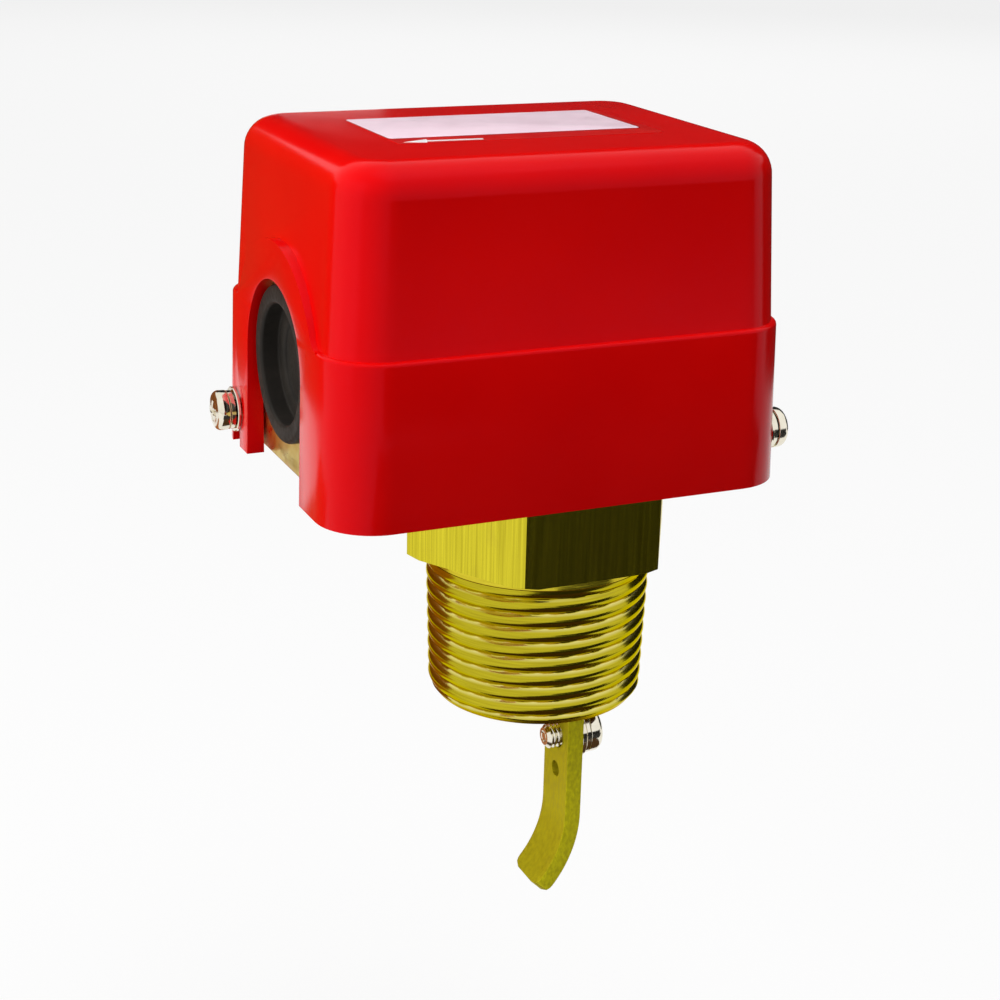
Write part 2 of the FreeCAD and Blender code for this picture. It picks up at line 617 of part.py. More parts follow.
# ================================================================ brass body
def make_brass_body():
    hexagon = polygon_prism(HEX_ACROSS_FLATS, 0, HEX_HEIGHT)
    corner = HEX_ACROSS_FLATS / math.sqrt(3)
    c = HEX_CORNER_CHAMFER
    turned = revolved([
        (0, 0), (corner - 2 * c, 0), (corner, c), (corner, HEX_HEIGHT - c),
        (corner - 2 * c, HEX_HEIGHT), (0, HEX_HEIGHT),
    ])
    hexagon = hexagon.common(turned)
    end = -THREAD_LENGTH
    shank = revolved([
        (0, 1), (THREAD_RADIUS, 1), (THREAD_RADIUS, end + THREAD_END_CHAMFER),
        (THREAD_RADIUS - THREAD_END_CHAMFER, end), (0, end),
    ])
    seat_bottom = HEX_HEIGHT - BELLOWS_FLANGE_THICKNESS
    holes = [
        upright(BORE_RADIUS, 0, 0, end - 1, HEX_HEIGHT + 1),
        upright(BELLOWS_SEAT_RADIUS, 0, 0, seat_bottom, HEX_HEIGHT + 1),
    ]
    for x, y in body_screw_places():
        holes.append(upright(M3_HOLE, x, y, CHASSIS_BOTTOM - BODY_SCREW_DEPTH, HEX_HEIGHT + 1))
    save("brass_body", less(joined(hexagon, shank), *holes))


def make_bellows():
    """Folded thin wall between a clamped flange and a cap on the lever rod."""
    wall = BELLOWS_WALL
    top = HEX_HEIGHT
    flange_bottom = top - BELLOWS_FLANGE_THICKNESS
    r_in = BELLOWS_INNER_RADIUS
    r_out = BELLOWS_OUTER_RADIUS
    folds_top = flange_bottom - wall
    inner = []
    outer = []
    for i in range(BELLOWS_FOLDS):
        z = folds_top - i * BELLOWS_FOLD_PITCH
        inner.append((r_in, z))
        inner.append((r_out - wall, z - BELLOWS_FOLD_PITCH / 2))
        outer.append((r_in + wall, z))
        outer.append((r_out, z - BELLOWS_FOLD_PITCH / 2))
    folds_end = folds_top - BELLOWS_FOLDS * BELLOWS_FOLD_PITCH
    cap_bottom = folds_end - BELLOWS_CAP_THICKNESS
    outline = [(r_in, top)] + inner + [
        (r_in, folds_end),
        (ROD_RADIUS + RUNNING_FIT, folds_end),
        (ROD_RADIUS + RUNNING_FIT, cap_bottom),
        (r_in + wall, cap_bottom),
        (r_in + wall, folds_end),
    ] + outer[::-1] + [
        (r_in + wall, flange_bottom),
        (BELLOWS_SEAT_RADIUS - RUNNING_FIT, flange_bottom),
        (BELLOWS_SEAT_RADIUS - RUNNING_FIT, top),
    ]
    save("bellows", revolved(outline))


def make_body_screws():
    length = BRACKET_TOP - CHASSIS_BOTTOM + BODY_SCREW_DEPTH - SCREW_END_GAP
    screw = pan_screw(M3_RADIUS, length, M3_HEAD_RADIUS, M3_HEAD_HEIGHT)
    save("body_screws", *[
        facing(screw, Vector(x, y, BRACKET_TOP), Z_AXIS) for x, y in body_screw_places()
    ])


# ================================================================ lever
def make_lever_rod():
    foot_bottom = ROD_FOOT_TOP_Z - ROD_FOOT_LENGTH
    stud_top = SHOULDER_Z + STUD_LENGTH
    lead = 0.6
    turned = revolved([
        (0, ROD_FOOT_TOP_Z - 1), (ROD_RADIUS, ROD_FOOT_TOP_Z - 1), (ROD_RADIUS, SHOULDER_Z),
        (STUD_RADIUS, SHOULDER_Z), (STUD_RADIUS, stud_top - lead),
        (STUD_RADIUS - lead, stud_top), (0, stud_top),
    ])
    half = ROD_FOOT_WIDTH / 2
    foot = box(-half, ARM_SEAT_X, -half, half, foot_bottom, ROD_FOOT_TOP_Z)
    foot = foot.makeFillet(0.8, edges_along(foot, Z_AXIS, x=-half))
    pin_hole = rod(
        PIVOT_PIN_RADIUS + RUNNING_FIT,
        Vector(0, -ROD_RADIUS - 1, PIVOT_Z), Vector(0, ROD_RADIUS + 1, PIVOT_Z),
    )
    holes = [pin_hole]
    for z in rivet_heights():
        holes.append(rod(
            RIVET_RADIUS + RUNNING_FIT, Vector(-half - 1, 0, z), Vector(ARM_SEAT_X + 1, 0, z)
        ))
    save("lever_rod", less(joined(turned, foot), *holes))


def rivet_heights():
    middle = ROD_FOOT_TOP_Z - ROD_FOOT_LENGTH / 2
    return [middle - RIVET_SPACING / 2, middle + RIVET_SPACING / 2]


def make_paddle_arm():
    """Flat strip with its lower end curved towards the cable entry side."""
    r_out = ARM_BEND_RADIUS
    r_in = r_out - ARM_THICKNESS
    centre = Vector(ARM_OUTER_X - r_out, 0, ARM_BEND_START_Z)

    def on_bend(radius, degrees):
        a = math.radians(degrees)
        return centre + Vector(radius * math.cos(a), 0, -radius * math.sin(a))

    bend = ARM_BEND_ANGLE
    top_outer = Vector(ARM_OUTER_X, 0, ARM_TOP_Z)
    top_inner = Vector(ARM_SEAT_X, 0, ARM_TOP_Z)
    outline = Part.Wire([
        Part.makeLine(top_outer, on_bend(r_out, 0)),
        Part.Arc(on_bend(r_out, 0), on_bend(r_out, bend / 2), on_bend(r_out, bend)).toShape(),
        Part.makeLine(on_bend(r_out, bend), on_bend(r_in, bend)),
        Part.Arc(on_bend(r_in, bend), on_bend(r_in, bend / 2), on_bend(r_in, 0)).toShape(),
        Part.makeLine(on_bend(r_in, 0), top_inner),
        Part.makeLine(top_inner, top_outer),
    ])
    outline.translate(Vector(0, -ARM_WIDTH / 2, 0))
    strip = Part.Face(outline).extrude(Vector(0, ARM_WIDTH, 0))
    across_tip = on_bend(r_in, bend) - on_bend(r_out, bend)
    across_tip.normalize()
    tip_corners = [e for e in edges_along(strip, across_tip) if e.CenterOfMass.z < ARM_BEND_START_Z]
    strip = strip.makeFillet(ARM_TIP_CORNER, tip_corners)
    holes = []
    through = [(z, RIVET_RADIUS + RUNNING_FIT) for z in rivet_heights()]
    through.append((PADDLE_SCREW_Z, M4_HOLE))
    through.append((PADDLE_SCREW_Z - LOCATING_HOLE_SPACING, LOCATING_HOLE_RADIUS))
    for z, radius in through:
        holes.append(rod(radius, Vector(ARM_SEAT_X - 1, 0, z), Vector(ARM_OUTER_X + 1, 0, z)))
    save("paddle_arm", less(strip, *holes))


def make_arm_rivets():
    grip = ARM_OUTER_X + ROD_FOOT_WIDTH / 2
    head = Part.makeCylinder(RIVET_HEAD_RADIUS, RIVET_HEAD_HEIGHT)
    head = head.makeFillet(RIVET_HEAD_HEIGHT * 0.7, edges_at_height(head, RIVET_HEAD_HEIGHT))
    tail = facing(head, Vector(0, 0, -grip), -Z_AXIS)
    shank = Part.makeCylinder(RIVET_RADIUS, grip, Vector(0, 0, -grip))
    rivet = joined(head, shank, tail)
    save("arm_rivets", *[
        facing(rivet, Vector(ARM_OUTER_X, 0, z), X_AXIS) for z in rivet_heights()
    ])


def make_paddle_clamp():
    flat_seat = Vector(ARM_OUTER_X, 0, PADDLE_SCREW_Z)
    spring_seat = flat_seat + X_AXIS * PADDLE_WASHER_THICKNESS
    head_seat = spring_seat + X_AXIS * PADDLE_SPRING_THICKNESS
    length = PADDLE_WASHER_THICKNESS + PADDLE_SPRING_THICKNESS + ARM_THICKNESS + PADDLE_SCREW_TAIL
    save("paddle_screw_flat_washer", facing(
        ring(PADDLE_WASHER_RADIUS, M4_HOLE, PADDLE_WASHER_THICKNESS), flat_seat, X_AXIS
    ))
    save("paddle_screw_spring_washer", facing(
        split_ring(PADDLE_SPRING_RADIUS, M4_HOLE, PADDLE_SPRING_THICKNESS, SPRING_WASHER_SLIT),
        spring_seat, X_AXIS,
    ))
    save("paddle_screw", facing(
        pan_screw(M4_RADIUS, length, M4_HEAD_RADIUS, M4_HEAD_HEIGHT), head_seat, X_AXIS
    ))


def spring_pilot_radius():
    return RANGE_SPRING_RADIUS - RANGE_SPRING_WIRE / 2 - RANGE_PILOT_GAP


def make_switch_lever():
    w = LEVER_PLATE_WIDTH / 2
    strip = box(-LEVER_PLATE_REACH, w, -w, w, SHOULDER_Z, LEVER_TOP)
    strip = strip.makeFillet(w * 0.6, edges_along(strip, Z_AXIS, x=w))
    bar = box(
        -LEVER_PLATE_REACH, LEVER_TAB_LENGTH - LEVER_PLATE_REACH,
        LEVER_TAB_FRONT_Y, LEVER_TAB_BACK_Y, SHOULDER_Z, LEVER_TOP,
    )
    bar = bar.makeFillet(LEVER_TAB_CORNER, edges_along(bar, Z_AXIS))
    pilot = upright(
        spring_pilot_radius(), RANGE_X, RANGE_Y, LEVER_TOP - LEVER_PLATE_THICKNESS / 2,
        LEVER_TOP + RANGE_PILOT_HEIGHT,
    )
    hole = upright(STUD_RADIUS + RUNNING_FIT, 0, 0, SHOULDER_Z - 1, LEVER_TOP + 1)
    save("switch_lever_plate", less(joined(strip, bar, pilot), hole))
    corner = NUT_ACROSS_FLATS / math.sqrt(3)
    nut = polygon_prism(NUT_ACROSS_FLATS, 0, NUT_HEIGHT)
    c = NUT_CHAMFER
    nut = nut.common(revolved([
        (0, 0), (corner - 2 * c, 0), (corner, c), (corner, NUT_HEIGHT - c),
        (corner - 2 * c, NUT_HEIGHT), (0, NUT_HEIGHT),
    ]))
    nut = less(nut, upright(STUD_RADIUS + RUNNING_FIT, 0, 0, -1, NUT_HEIGHT + 1))
    save("lever_nut", facing(nut, Vector(0, 0, LEVER_TOP), Z_AXIS))


# ================================================================ pivot
def make_pivot():
    a = BODY_SCREW_X + M3_HEAD_RADIUS + BRACKET_HEAD_MARGIN
    b = PIVOT_EAR_OUTER_Y + BRACKET_SIDE_MARGIN
    base = box(-a, a, -b, b, CHASSIS_TOP, BRACKET_TOP)
    base = base.makeFillet(BRACKET_CORNER, edges_along(base, Z_AXIS))
    ears = []
    for side in (-1, 1):
        y0, y1 = sorted((side * PIVOT_EAR_INNER_Y, side * PIVOT_EAR_OUTER_Y))
        w = PIVOT_EAR_HALF_WIDTH
        leg = box(-w, w, y0, y1, CHASSIS_TOP, PIVOT_Z)
        crown = rod(w, Vector(0, y0, PIVOT_Z), Vector(0, y1, PIVOT_Z))
        crown = less(crown, box(-w, w, y0, y1, PIVOT_Z - w, PIVOT_Z))
        ears.extend([leg, crown])
    reach = PIVOT_EAR_OUTER_Y + 1
    holes = [
        rod(PIVOT_PIN_RADIUS + RUNNING_FIT, Vector(0, -reach, PIVOT_Z), Vector(0, reach, PIVOT_Z)),
        upright(ROD_RADIUS + ROD_SWING_ROOM, 0, 0, CHASSIS_TOP - 1, BRACKET_TOP + 1),
    ]
    for x, y in body_screw_places():
        holes.append(upright(M3_HOLE, x, y, CHASSIS_TOP - 1, BRACKET_TOP + 1))
    save("pivot_bracket", less(joined(base, *ears), *holes))

    clip_y = PIVOT_EAR_OUTER_Y + RUNNING_FIT
    end = clip_y + PIVOT_CLIP_THICKNESS + PIVOT_PIN_END
    pin = rod(PIVOT_PIN_RADIUS, Vector(0, -end, PIVOT_Z), Vector(0, end, PIVOT_Z))
    groove_radius = PIVOT_PIN_RADIUS * 0.72
    clips = []
    for side in (-1, 1):
        out = Y_AXIS * side
        seat = Vector(0, side * clip_y, PIVOT_Z)
        groove = ring(PIVOT_PIN_RADIUS + 1, groove_radius, PIVOT_CLIP_THICKNESS + 2 * RUNNING_FIT)
        pin = less(pin, facing(groove, seat - out * RUNNING_FIT, out))
        clip = split_ring(
            PIVOT_CLIP_RADIUS, groove_radius + RUNNING_FIT, PIVOT_CLIP_THICKNESS, groove_radius * 1.6
        )
        clips.append(facing(clip, seat, out))
    save("pivot_pin", pin)
    save("pivot_clips", *clips)


# ================================================================ snap switch
def switch_screw_xs():
    half = SWITCH_SCREW_SPACING / 2
    return [SWITCH_CENTRE_X - half, SWITCH_CENTRE_X + half]


def terminal_xs():
    first = SWITCH_CENTRE_X - TERMINAL_PITCH * (TERMINAL_COUNT - 1) / 2
    return [first + i * TERMINAL_PITCH for i in range(TERMINAL_COUNT)]


def make_microswitch():
    x0 = SWITCH_CENTRE_X - SWITCH_LENGTH / 2
    x1 = SWITCH_CENTRE_X + SWITCH_LENGTH / 2
    case = box(x0, x1, SWITCH_FRONT_Y, SWITCH_BACK_Y, SWITCH_BOTTOM, SWITCH_TOP)
    low_ends = edges_along(case, Y_AXIS, x=x0, z=SWITCH_BOTTOM)
    low_ends += edges_along(case, Y_AXIS, x=x1, z=SWITCH_BOTTOM)
    case = case.makeChamfer(SWITCH_END_CHAMFER, low_ends)
    collar = upright(
        PLUNGER_RADIUS + PLUNGER_COLLAR_WALL, PLUNGER_X, SWITCH_MID_Y,
        SWITCH_BOTTOM - PLUNGER_COLLAR_HEIGHT, SWITCH_BOTTOM + 1,
    )
    barriers = []
    for left in terminal_xs()[:-1]:
        middle = left + TERMINAL_PITCH / 2
        half = BARRIER_THICKNESS / 2
        barriers.append(box(
            middle - half, middle + half, SWITCH_FRONT_Y, SWITCH_BACK_Y,
            SWITCH_TOP - 1, SWITCH_TOP + BARRIER_HEIGHT,
        ))
    plunger_hole = upright(
        PLUNGER_RADIUS + RUNNING_FIT, PLUNGER_X, SWITCH_MID_Y, SWITCH_BOTTOM - 2,
        SWITCH_BOTTOM + PLUNGER_GUIDE_LENGTH + PLUNGER_TRAVEL + SEAT_GAP,
    )
    holes = [plunger_hole]
    for x in switch_screw_xs():
        holes.append(rod(
            M3_HOLE, Vector(x, SWITCH_FRONT_Y - 1, SWITCH_SCREW_Z),
            Vector(x, SWITCH_BACK_Y + 1, SWITCH_SCREW_Z),
        ))
    for x in terminal_xs():
        holes.append(upright(
            M3_HOLE, x, SWITCH_MID_Y, SWITCH_TOP - TERMINAL_SCREW_LENGTH, SWITCH_TOP + 1
        ))
    save("microswitch_case", less(joined(case, collar, *barriers), *holes))

    tip = LEVER_TOP + PLUNGER_FREE_GAP
    plunger = upright(
        PLUNGER_RADIUS, PLUNGER_X, SWITCH_MID_Y, tip, SWITCH_BOTTOM + PLUNGER_GUIDE_LENGTH
    )
    plunger = plunger.makeFillet(PLUNGER_RADIUS * 0.5, edges_at_height(plunger, tip))
    save("microswitch_plunger", plunger)

    plates = []
    screws = []
    half = TERMINAL_WIDTH / 2
    depth = TERMINAL_DEPTH / 2
    plate_top = SWITCH_TOP + TERMINAL_THICKNESS
    for x in terminal_xs():
        plate = box(
            x - half, x + half, SWITCH_MID_Y - depth, SWITCH_MID_Y + depth, SWITCH_TOP, plate_top
        )
        plate = plate.makeFillet(TERMINAL_CORNER, edges_along(plate, Z_AXIS))
        plates.append(less(plate, upright(M3_HOLE, x, SWITCH_MID_Y, SWITCH_TOP - 1, plate_top + 1)))
        length = TERMINAL_SCREW_LENGTH + TERMINAL_THICKNESS - SCREW_END_GAP
        screw = pan_screw(M3_RADIUS, length, M3_HEAD_RADIUS, M3_HEAD_HEIGHT)
        screws.append(facing(screw, Vector(x, SWITCH_MID_Y, plate_top), Z_AXIS))
    save("terminal_plates", *plates)
    save("terminal_screws", *screws)


def make_switch_bracket():
    t = SWITCH_BRACKET_THICKNESS
    x0 = SWITCH_CENTRE_X - SWITCH_BRACKET_HALF_LENGTH
    x1 = SWITCH_CENTRE_X + SWITCH_BRACKET_HALF_LENGTH
    y0 = SWITCH_BACK_Y
    y1 = SWITCH_BACK_Y + t
    top = SWITCH_SCREW_Z + SWITCH_BRACKET_TOP_MARGIN
    wall = box(x0, x1, y0, y1, CHASSIS_TOP, top)
    wall = wall.makeFillet(SWITCH_BRACKET_CORNER, edges_along(wall, Y_AXIS, z=top))
    foot_edge = y0 - FOOT_DEPTH
    foot = box(x0, x1, foot_edge, y1, CHASSIS_TOP, CHASSIS_TOP + t)
    foot = foot.makeFillet(FOOT_CORNER, edges_along(foot, Z_AXIS, y=foot_edge))
    bracket = joined(wall, foot)
    bracket = bracket.makeFillet(t, edges_along(bracket, X_AXIS, y=y1, z=CHASSIS_TOP))
    holes = []
    for x in switch_screw_xs():
        holes.append(rod(
            M3_HOLE, Vector(x, y0 - 1, SWITCH_SCREW_Z), Vector(x, y1 + 1, SWITCH_SCREW_Z)
        ))
    foot_top = CHASSIS_TOP + t
    for x, y in switch_foot_places():
        holes.append(upright(M3_HOLE, x, y, CHASSIS_TOP - 1, foot_top + 1))
    save("switch_bracket", less(bracket, *holes))
    foot_screw = pan_screw(M3_RADIUS, foot_screw_length(t), M3_HEAD_RADIUS, M3_HEAD_HEIGHT)
    save("switch_bracket_screws", *[
        facing(foot_screw, Vector(x, y, foot_top), Z_AXIS) for x, y in switch_foot_places()
    ])
    length = SWITCH_WIDTH + t
    screw = pan_screw(M3_RADIUS, length, M3_HEAD_RADIUS, M3_HEAD_HEIGHT)
    save("microswitch_screws", *[
        facing(screw, Vector(x, SWITCH_FRONT_Y, SWITCH_SCREW_Z), -Y_AXIS) for x in switch_screw_xs()
    ])


# ================================================================ range adjuster
def make_range_bracket():
    t = RANGE_BRACKET_THICKNESS
    x0 = RANGE_X - RANGE_BRACKET_HALF_WIDTH
    x1 = RANGE_X + RANGE_BRACKET_HALF_WIDTH
    wall_y = RANGE_BRACKET_UPRIGHT_Y
    wall = box(x0, x1, wall_y, wall_y + t, CHASSIS_TOP, RANGE_ARM_TOP)
    foot_edge = wall_y - FOOT_DEPTH
    foot = box(x0, x1, foot_edge, wall_y + t, CHASSIS_TOP, CHASSIS_TOP + t)
    arm = box(x0, x1, wall_y, RANGE_Y + RANGE_BRACKET_REACH, RANGE_ARM_BOTTOM, RANGE_ARM_TOP)
    arm = arm.makeFillet(
        RANGE_BRACKET_CORNER, edges_along(arm, Z_AXIS, y=RANGE_Y + RANGE_BRACKET_REACH)
    )
    foot = foot.makeFillet(FOOT_CORNER, edges_along(foot, Z_AXIS, y=foot_edge))
    bracket = joined(wall, foot, arm)
    outside = edges_along(bracket, X_AXIS, y=wall_y, z=RANGE_ARM_TOP)
    outside += edges_along(bracket, X_AXIS, y=wall_y + t, z=CHASSIS_TOP)
    bracket = bracket.makeFillet(t, outside)
    holes = [upright(M4_HOLE, RANGE_X, RANGE_Y, RANGE_ARM_BOTTOM - 1, RANGE_ARM_TOP + 1)]
    foot_top = CHASSIS_TOP + t
    for x, y in range_foot_places():
        holes.append(upright(M3_HOLE, x, y, CHASSIS_TOP - 1, foot_top + 1))
    save("range_bracket", less(bracket, *holes))
    foot_screw = pan_screw(M3_RADIUS, foot_screw_length(t), M3_HEAD_RADIUS, M3_HEAD_HEIGHT)
    save("range_bracket_screws", *[
        facing(foot_screw, Vector(x, y, foot_top), Z_AXIS) for x, y in range_foot_places()
    ])


def make_range_adjuster():
    head_seat = RANGE_ARM_TOP + RANGE_HEAD_CLEAR
    length = head_seat - SEAT_TOP - RUNNING_FIT
    r = M4_HEAD_RADIUS
    head = Part.makeCylinder(r, M4_HEAD_HEIGHT)
    head = head.makeFillet(RANGE_HEAD_EDGE, edges_at_height(head, M4_HEAD_HEIGHT))
    half = SCREWDRIVER_SLOT_WIDTH / 2
    slot_floor = M4_HEAD_HEIGHT - SCREWDRIVER_SLOT_DEPTH
    slot = box(-r - 1, r + 1, -half, half, slot_floor, M4_HEAD_HEIGHT + 1)
    tip = RANGE_SCREW_TIP
    shank = revolved([
        (0, 0), (M4_RADIUS, 0), (M4_RADIUS, tip - length), (M4_RADIUS - tip, -length), (0, -length)
    ])
    screw = less(joined(head, shank), slot)
    save("range_screw", facing(screw, Vector(RANGE_X, RANGE_Y, head_seat), Z_AXIS))

    seat_radius = RANGE_SPRING_RADIUS + RANGE_SPRING_WIRE
    disc = upright(seat_radius, RANGE_X, RANGE_Y, SEAT_BOTTOM, SEAT_TOP)
    pilot = upright(
        spring_pilot_radius(), RANGE_X, RANGE_Y, SEAT_BOTTOM - RANGE_PILOT_HEIGHT, SEAT_TOP
    )
    save("range_spring_seat", joined(disc, pilot))

    wire = RANGE_SPRING_WIRE / 2
    rise = RANGE_SPRING_LENGTH - RANGE_SPRING_WIRE - 2 * RUNNING_FIT
    helix = Part.makeHelix(rise / RANGE_SPRING_TURNS, rise, RANGE_SPRING_RADIUS)
    section = Part.Wire(Part.makeCircle(wire, Vector(RANGE_SPRING_RADIUS, 0, 0), Y_AXIS))
    spring = Part.Wire(helix).makePipeShell([section], True, True)
    spring.translate(Vector(RANGE_X, RANGE_Y, LEVER_TOP + wire + RUNNING_FIT))
    save("range_spring", spring)


# ================================================================ earth terminal
def make_earth_terminal():
    washer = ring(EARTH_WASHER_RADIUS, M4_HOLE, EARTH_WASHER_THICKNESS)
    save("earth_washer", facing(washer, Vector(EARTH_X, EARTH_Y, CHASSIS_TOP), Z_AXIS))
    length = foot_screw_length(EARTH_WASHER_THICKNESS)
    screw = pan_screw(M4_RADIUS, length, M4_HEAD_RADIUS, M4_HEAD_HEIGHT)
    seat = CHASSIS_TOP + EARTH_WASHER_THICKNESS
    save("earth_screw", facing(screw, Vector(EARTH_X, EARTH_Y, seat), Z_AXIS))


os.makedirs("parts", exist_ok=True)
make_cover()
make_chassis()
make_grommet()
make_cover_screws()
make_brass_body()
make_bellows()
make_body_screws()
make_lever_rod()
make_paddle_arm()
make_arm_rivets()
make_paddle_clamp()
make_switch_lever()
make_pivot()
make_microswitch()
make_switch_bracket()
make_range_bracket()
make_range_adjuster()
make_earth_terminal()
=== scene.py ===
import math

import bmesh
import bpy
from mathutils import Matrix, Vector


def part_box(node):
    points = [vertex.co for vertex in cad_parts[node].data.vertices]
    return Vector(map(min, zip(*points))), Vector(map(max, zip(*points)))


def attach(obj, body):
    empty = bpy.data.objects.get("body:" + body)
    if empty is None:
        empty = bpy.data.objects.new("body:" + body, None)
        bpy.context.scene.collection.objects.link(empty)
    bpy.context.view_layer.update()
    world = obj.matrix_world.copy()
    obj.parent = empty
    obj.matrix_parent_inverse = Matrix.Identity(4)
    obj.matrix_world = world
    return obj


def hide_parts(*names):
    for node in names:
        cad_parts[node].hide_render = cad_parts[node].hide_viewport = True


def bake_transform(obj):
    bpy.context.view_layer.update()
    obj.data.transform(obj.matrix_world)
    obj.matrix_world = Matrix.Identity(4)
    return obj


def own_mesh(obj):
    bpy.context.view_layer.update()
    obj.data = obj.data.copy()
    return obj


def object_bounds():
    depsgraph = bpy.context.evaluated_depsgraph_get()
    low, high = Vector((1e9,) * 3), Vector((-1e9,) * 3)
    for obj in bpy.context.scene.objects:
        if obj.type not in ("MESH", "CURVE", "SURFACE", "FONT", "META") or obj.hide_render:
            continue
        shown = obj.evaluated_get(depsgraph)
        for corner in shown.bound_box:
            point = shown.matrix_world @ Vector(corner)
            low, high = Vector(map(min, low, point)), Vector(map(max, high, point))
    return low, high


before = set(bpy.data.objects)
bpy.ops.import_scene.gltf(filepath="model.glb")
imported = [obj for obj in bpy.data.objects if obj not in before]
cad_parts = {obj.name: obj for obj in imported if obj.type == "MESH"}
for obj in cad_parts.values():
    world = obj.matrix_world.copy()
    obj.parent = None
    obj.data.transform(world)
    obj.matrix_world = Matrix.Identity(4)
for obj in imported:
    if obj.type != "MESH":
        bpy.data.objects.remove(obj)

cad_low, cad_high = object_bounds()
MM = 0.001

# The part's sizes in millimetres, in the frame's axes: shank axis on Z, hexagon underside at 0.
# They repeat the solids' sizes, so that the visible pieces lie on them.
COVER_LENGTH, COVER_WIDTH = 66.0, 51.0      # skirt at the ledge
COVER_CENTRE = -7.2
SKIRT_DRAFT, LEDGE, WALL = 0.5, 0.75, 2.0
TOP_TAPER_X, TOP_TAPER_Y = 1.4, 0.7
CORNER, INNER_CORNER = 7.8, 4.0
TOP_FILLET, TOP_INNER_FILLET = 4.5, 2.6
LEDGE_ROUND, STEP_RISE = 0.5, 0.02
RIM_Z, LEDGE_Z, TOP_Z = 14.2, 36.5, 60.8
ENTRY_Z, SLOT_RADIUS, BOSS_RADIUS = 30.3, 11.6, 17.0
FLANGE_CAVITY_RADIUS = 14.9
SCREW_Y, SCREW_Z, NOTCH_HALF = 17.0, 19.4, 1.7

THREAD_PITCH, THREAD_TAPER = 2.309, 1 / 32
THREAD_END, THREAD_RADIUS, THREAD_DEPTH = -22.9, 16.62, 0.62
HEX_FLATS, HEX_HEIGHT = 36.0, 15.0
BORE_RADIUS = 11.0


# -------------------------------- camera, light, floor
CAMERA_ANGLES = (-24.46, 19.62, 1.45)       # azimuth, elevation and roll, in degrees
CAMERA_PLACE = Vector((-5.59, 5.77, 282.3)) # right, up and back in the camera's own axes
LENS, SENSOR = 68.70, 36
WORLD_LIGHT = 0.10
FLOOR_HALF, FLOOR_DROP = 6.0, 0.055         # metres
FLOOR_TONE, FLOOR_TONE_SEEN = 0.45, 0.92    # for the light it throws back, and as it is seen
FLOOR_GLOW = 0.85                           # share of plain white in the floor as it is seen
FLOOR_Z = cad_low.z - FLOOR_DROP


def set_camera():
    """Camera of the photograph, as fitted to housing, hexagon and thread."""
    azimuth, elevation, roll = (math.radians(a) for a in CAMERA_ANGLES)
    turn = Matrix.Rotation(azimuth, 4, "Z") @ Matrix.Rotation(math.pi / 2 - elevation, 4, "X")
    turn = turn @ Matrix.Rotation(roll, 4, "Z")
    data = bpy.data.cameras.new("camera")
    data.sensor_width = SENSOR
    data.lens = LENS
    data.clip_start = 0.01
    camera = bpy.data.objects.new("camera", data)
    camera.matrix_world = turn @ Matrix.Translation(CAMERA_PLACE * MM)
    bpy.context.scene.collection.objects.link(camera)
    bpy.context.scene.camera = camera


def add_lamp(name, place, target, size, power):
    """A soft square lamp that reflections don't see."""
    data = bpy.data.lights.new(name, "AREA")
    data.size = size
    data.energy = power
    lamp = bpy.data.objects.new(name, data)
    lamp.location = place
    lamp.rotation_euler = (Vector(target) - Vector(place)).to_track_quat("-Z", "Y").to_euler()
    lamp.visible_glossy = False
    bpy.context.scene.collection.objects.link(lamp)


def seen_directly(nodes, links):
    """1 for camera, glossy and transmission rays, 0 for the light that falls on the object."""
    path = nodes.new("ShaderNodeLightPath")
    seen = path.outputs["Is Camera Ray"]
    for ray in ("Is Glossy Ray", "Is Transmission Ray"):
        either = nodes.new("ShaderNodeMath")
        either.operation = "MAXIMUM"
        links.new(seen, either.inputs[0])
        links.new(path.outputs[ray], either.inputs[1])
        seen = either.outputs[0]
    return seen


def mix_shaders(nodes, links, share, first, second, out):
    """Sends the first shader to the output, and the second where the share is 1."""
    mix = nodes.new("ShaderNodeMixShader")
    links.new(share, mix.inputs[0])
    links.new(first.outputs[0], mix.inputs[1])
    links.new(second.outputs[0], mix.inputs[2])
    links.new(mix.outputs[0], out.inputs[0])


def set_world():
    """White where it is seen, and a faint even light on the object."""
    world = bpy.data.worlds.new("studio")
    bpy.context.scene.world = world
    world.use_nodes = True
    nodes, links = world.node_tree.nodes, world.node_tree.links
    nodes.clear()
    out = nodes.new("ShaderNodeOutputWorld")
    soft = nodes.new("ShaderNodeBackground")
    soft.inputs["Color"].default_value = (1, 1, 1, 1)
    soft.inputs["Strength"].default_value = WORLD_LIGHT
    white = nodes.new("ShaderNodeBackground")
    white.inputs["Color"].default_value = (1, 1, 1, 1)
    mix_shaders(nodes, links, seen_directly(nodes, links), soft, white, out)


def rectangle(name, width, height):
    """A flat sheet about its own middle, linked to the scene."""
    mesh = bpy.data.meshes.new(name)
    w, h = width / 2, height / 2
    mesh.from_pydata([(-w, -h, 0), (w, -h, 0), (w, h, 0), (-w, h, 0)], [], [(0, 1, 2, 3)])
    sheet = bpy.data.objects.new(name, mesh)
    bpy.context.scene.collection.objects.link(sheet)
    return sheet


